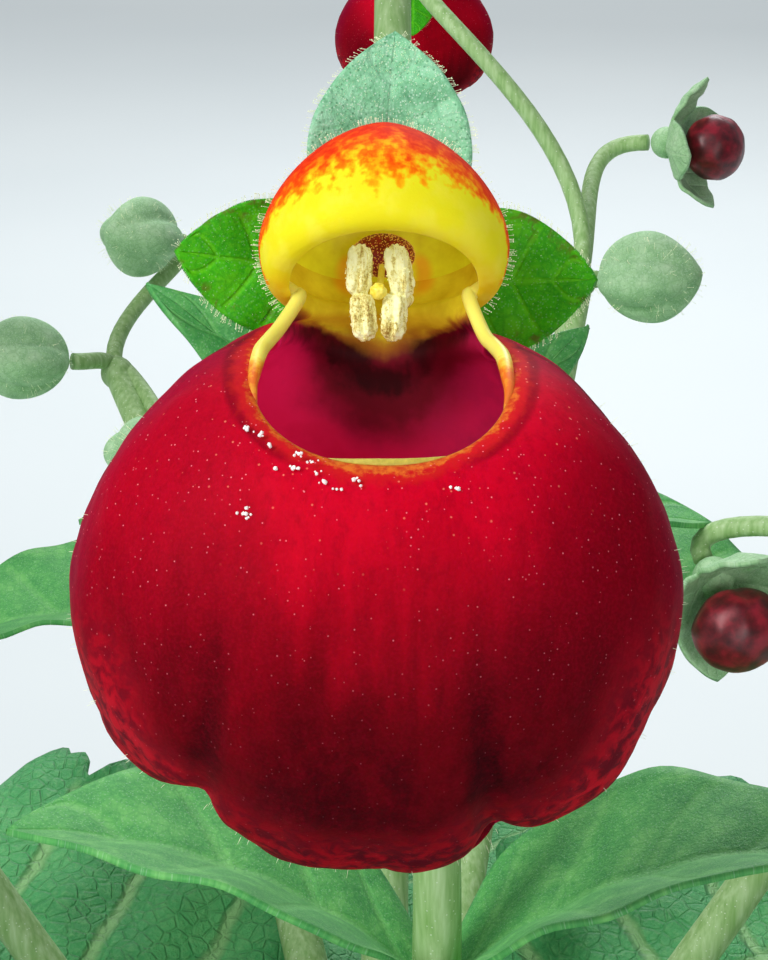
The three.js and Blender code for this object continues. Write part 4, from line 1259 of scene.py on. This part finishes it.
def open_calyx(bud):
    """Four sepals that lean forward round a young pouch."""
    seat = Vector((0, BUD.length - BUD.receptacle, 0))
    grow(bud, "calyx_seat", egg(seat, [BUD.receptacle] * 3), [PAINT.bud], "calyx")
    for turn in (0, 90, 180, 270):
        skin = sepal_skin(seat, BUD.sepal_root, BUD.sepal_fold, Form(turn=turn, **BUD.sepal))
        face = sheet(skin, 16, 24)
        grow(bud, f"calyx_{turn}", face, [PAINT.bud], "calyx", wall=SEPAL.thickness)


def young_pouch(bud):
    def shape(point):
        groove = 0.05 * exp(-(point.x / 0.16) ** 2) * max(0, point.z)
        return point * (1 + 0.04 * noise.noise(point * 2.2) - groove)

    body = egg(BUD.pouch.at, BUD.pouch.size, 48, 32, 0, shape)
    grow(bud, "pouch_skin", body, [PAINT.young_pouch], "pouch")


# ------------------------------------------------------------------ stems


def stalk_line(form, fork, upwards, is_bud):
    """A stalk from a stem's fork to the back of a flower or a bud."""
    place = standing(form)
    back = BUD.length if is_bud else SEPAL.seat.y + SEPAL.receptacle
    seat = Vector((0, back + GAP / form.size, 0 if is_bud else SEPAL.seat.z))
    end = place @ seat
    behind = (place @ (seat - FRONT) - end).normalized()
    reach = (fork - end).length
    bends = fork + upwards * 0.45 * reach, end + behind * 0.4 * reach
    return geometry.interpolate_bezier(fork, *bends, end, 22)


def stem(name, form):
    node = f"stem_{name}"
    line = flowing(form.route, 12)
    fork = line[-1]
    upwards = (line[-1] - line[-2]).normalized()
    parts = [rod(line, lambda t: STEM.foot + (STEM.fork - STEM.foot) * t, 18), egg(fork, [STEM.knot] * 3)]
    for group, is_bud in ((FLOWERS, False), (OPEN_BUDS, True), (CLOSED_BUDS, True)):
        for held in (one for one in group if one.stem == name):
            parts.append(rod(stalk_line(held, fork, upwards, is_bud), lambda t: STEM.stalk, 12))
    settle(f"{node}_stalks", joined(parts), [PAINT.stem], [node])
    for n, (start, end, half_width, *face) in enumerate(form.bracts):
        facing = Vector(face[0]) if face else Vector((0, 0, 1))
        skin = blade(Vector(start), Vector(end), half_width, facing, fold=18, bow=0.1, wave=0.25)
        bract = f"{node}_bract_{n + 1}"
        settle(bract, sheet(skin, 24, 40), [PAINT.bract], [node], wall=SEPAL.thickness)


# ------------------------------------------------------------------ pot and soil


def pot_wall(z):
    """The radius of the pot's outer side at a height, below its rim."""
    return POT.base_radius + (POT.rim_radius - POT.rim_step - POT.base_radius) * z / POT.height


def turned(profile, steps, pitch=2.0):
    """A body of revolution about Z from an outline (radius, z) that starts and ends on the axis."""
    bm = bmesh.new()
    points = []
    for (r0, z0), (r1, z1) in zip(profile, profile[1:]):
        parts = max(1, round(hypot(r1 - r0, z1 - z0) / pitch))
        points += [(r0 + (r1 - r0) * n / parts, z0 + (z1 - z0) * n / parts) for n in range(parts)]
    points.append(profile[-1])
    corners = [bm.verts.new((r, 0, z)) for r, z in points]
    edges = [bm.edges.new(pair) for pair in zip(corners, corners[1:])]
    bmesh.ops.spin(
        bm, geom=corners + edges, cent=(0, 0, 0), axis=(0, 0, 1), angle=2 * pi, steps=steps, use_merge=True)
    bmesh.ops.remove_doubles(bm, verts=bm.verts, dist=1e-3)
    bmesh.ops.recalc_face_normals(bm, faces=bm.faces)
    return bm


def pot():
    bm = turned([
        (0, 0), (POT.base_radius, 0), (pot_wall(SHOULDER), SHOULDER), (POT.rim_radius, SHOULDER),
        (POT.rim_radius, POT.height - POT.lip), (POT.rim_radius - POT.lip, POT.height),
        (POT.rim_radius - POT.rim_step - POT.wall, POT.height), (pot_wall(POT.floor) - POT.wall, POT.floor),
        (0, POT.floor),
    ], 96)
    piece = settle("pot_clay", keep_place(bm), [PAINT.clay], ["pot"])
    round_edges(piece, width=0.7, angle=28)


def soil():
    """The soil's body with a rough top, and crumbs and white grains on it."""
    bottom = POT.floor + GAP
    radius = pot_wall(SOIL.level) - POT.wall - 2 * GAP
    bm = turned([
        (0, bottom), (pot_wall(bottom) - POT.wall - 2 * GAP, bottom), (radius, SOIL.level), (0, SOIL.level),
    ], 150, 1.1)

    def top(x, y):
        rough = sin(0.31 * x + 1.3 * sin(0.23 * y)) + sin(0.37 * y + 1.1 * sin(0.29 * x))
        place = Vector((x, y, 0))
        lumps = 0.7 * noise.noise(place * 0.6) + 0.4 * noise.noise(place * 1.7)
        return SOIL.level + SOIL.ripple * rough / 2 + lumps

    for vert in bm.verts:
        if vert.co.z > SOIL.level - 0.1:
            vert.co.z = top(vert.co.x, vert.co.y)
    settle("soil_bed", keep_place(bm), [PAINT.soil], ["soil"])
    rng = Random(8)
    for name, count, sizes, paint in (
            ("crumbs", 620, (0.4, 1.3), PAINT.soil), ("white_grains", 70, (0.5, 1.2), PAINT.perlite)):
        spots = []
        for _ in range(count):
            turn, away = rng.uniform(0, 2 * pi), sqrt(rng.uniform(0.03, 1)) * (radius - 1.5)
            x, y = away * cos(turn), away * sin(turn)
            size = rng.uniform(*sizes)
            spots.append((Vector((x, y, top(x, y) + 0.3 * size)), size))
        settle(f"soil_{name}", crumbs(spots), [paint])


def crown():
    bm = turned([
        (0, CROWN.bottom), (0.55 * CROWN.radius, CROWN.bottom), (0.9 * CROWN.radius, CROWN.bottom + 8),
        (CROWN.radius, CROWN.top - 14), (0.92 * CROWN.radius, CROWN.top - 3), (0.6 * CROWN.radius, CROWN.top),
        (0, CROWN.top),
    ], 48, 0.8)
    for vert in bm.verts:
        out = Vector((vert.co.x, vert.co.y, 0)) / CROWN.radius
        vert.co += out * 0.35 * noise.noise(vert.co * 0.55)
    settle("crown_foot", keep_place(bm), [PAINT.crown], ["crown"])


# ------------------------------------------------------------------ hairs


def ball_hairs(rng, bag, count, turns, depths, lengths):
    """Hair roots on a bag's skin, between two turns and two depths, pointing away from its middle."""
    roots = []
    for _ in range(count):
        way = way_at(rng.uniform(*turns), rng.uniform(*depths))
        roots.append((bag_point(bag, way) - way * 0.03, noisy(rng, way * rng.uniform(*lengths), 0.2)))
    return roots


def edge_hairs(rng, skin, count, lengths):
    """Hair roots along both edges of a blade."""
    roots = []
    for _ in range(count):
        v = rng.uniform(0.06, 0.99)
        here = skin(rng.choice((0.0, 1.0)), v)
        out = (here - skin(0.5, max(0, v - 0.04))).normalized()
        roots.append((here - out * 0.05, noisy(rng, out * rng.uniform(*lengths), 0.25)))
    return roots


def face_hairs(rng, skin, count, lengths):
    """Hair roots all over the front of a blade."""
    roots = []
    for _ in range(count):
        here, out = spot_on(skin, rng.uniform(0.05, 0.95), rng.uniform(0.05, 0.95))
        out = out if out.dot(FRONT) > 0 else -out
        roots.append((here + out * 0.1, noisy(rng, out * rng.uniform(*lengths), 0.5)))
    return roots


def flower_hairs(one, share):
    """The fringe of hairs round the hood, the sepals and the pouch: `share` of the full number."""
    rng = Random(21)
    skins = sepal_skins()
    glands = ball_hairs(rng, HOOD, int(HAIRS.hood * share), (-124, 124), (-14, 50), (0.2, 0.4))
    glands += edge_hairs(rng, skins[0], int(HAIRS.top_edge * share), (0.22, 0.4))
    for skin in skins[1:]:
        glands += edge_hairs(rng, skin, int(HAIRS.edge * share), (0.22, 0.42))
    grow(one, "gland_hairs", hairs(glands, 0.015, 0.03), [PAINT.hair])
    plain = face_hairs(rng, skins[0], int(HAIRS.top_face * share), (0.12, 0.25))
    for skin in skins[1:3]:
        plain += face_hairs(rng, skin, int(HAIRS.face * share), (0.1, 0.2))
    for turns in ((50, 175), (-175, -50)):
        plain += ball_hairs(rng, POUCH, int(HAIRS.pouch * share), turns, (-14, 20), (0.2, 0.5))
    grow(one, "fine_hairs", hairs(plain, 0.018), [PAINT.hair])


def bud_hairs(bud):
    rng = Random(31)
    roots = []
    for _ in range(HAIRS.bud):
        way = on_ball(rng).xzy
        roots.append((way * BUD_SIZE * 0.93, noisy(rng, way * rng.uniform(0.5, 0.8), 0.3)))
    grow(bud, "hairs", hairs(roots, 0.025, 0.04), [PAINT.hair])


# ------------------------------------------------------------------ camera, light and ground


def look():
    camera = bpy.data.cameras.new("camera")
    camera.lens = CAMERA.lens
    camera.sensor_width = 36
    camera.clip_start = 0.005
    camera.clip_end = 20
    stand = bpy.data.objects.new("camera", camera)
    stand.location = CAMERA.place
    stand.rotation_euler = (radians(90 - CAMERA.down), 0, 0)
    bpy.context.scene.collection.objects.link(stand)
    bpy.context.scene.camera = stand


def lamp(name, place, aim, size, power, colour):
    light = bpy.data.lights.new(name, "AREA")
    light.shape = "DISK"
    light.size = size
    light.energy = power
    light.color = colour
    stand = bpy.data.objects.new(name, light)
    stand.location = place
    stand.rotation_euler = (Vector(aim) - Vector(place)).to_track_quat("-Z", "Y").to_euler()
    bpy.context.scene.collection.objects.link(stand)


def studio():
    scene = bpy.context.scene
    scene.view_settings.view_transform = "Standard"
    world = bpy.data.worlds.new("studio")
    world.use_nodes = True
    sky = world.node_tree.nodes["Background"].inputs
    sky["Color"].default_value = SKY.colour
    sky["Strength"].default_value = SKY.strength
    scene.world = world
    for row in LAMPS:
        lamp(*row)
    bm = bmesh.new()
    bmesh.ops.create_grid(bm, x_segments=1, y_segments=1, size=FLOOR_REACH)
    mesh = bpy.data.meshes.new("floor")
    keep_place(bm).to_mesh(mesh)
    bm.free()
    mesh.materials.append(PAINT.floor)
    floor = bpy.data.objects.new("floor", mesh)
    scene.collection.objects.link(floor)
    floor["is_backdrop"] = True


# ------------------------------------------------------------------ build

look()
studio()

pot()
soil()
crown()
for stem_name, stem_form in STEMS.items():
    stem(stem_name, stem_form)
for leaf_form in LEAVES:
    large_leaf(leaf_form)
for one in FLOWERS:
    drawn = FINE if one.name == "hero" else COARSE
    pouch(one, drawn.pouch)
    hood(one, drawn.hood)
    calyx(one, drawn.sepal)
    throat(one, *drawn.throat)
    straps(one, *drawn.strap)
    stamen(one, "left", drawn.grains)
    stamen(one, "right", drawn.grains)
    flower_hairs(one, drawn.hairs)
pistil(FLOWERS[0])
lip_crescent(FLOWERS[0])
pollen_crumbs(FLOWERS[0])
for one in OPEN_BUDS:
    open_calyx(one)
    young_pouch(one)
for one in CLOSED_BUDS:
    closed_calyx(one)
    bud_hairs(one)

DRESSED_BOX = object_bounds()
({name: [list(corner) for corner in box] for name, box in
           (("solid", SOLID_BOX), ("dressed", DRESSED_BOX))})
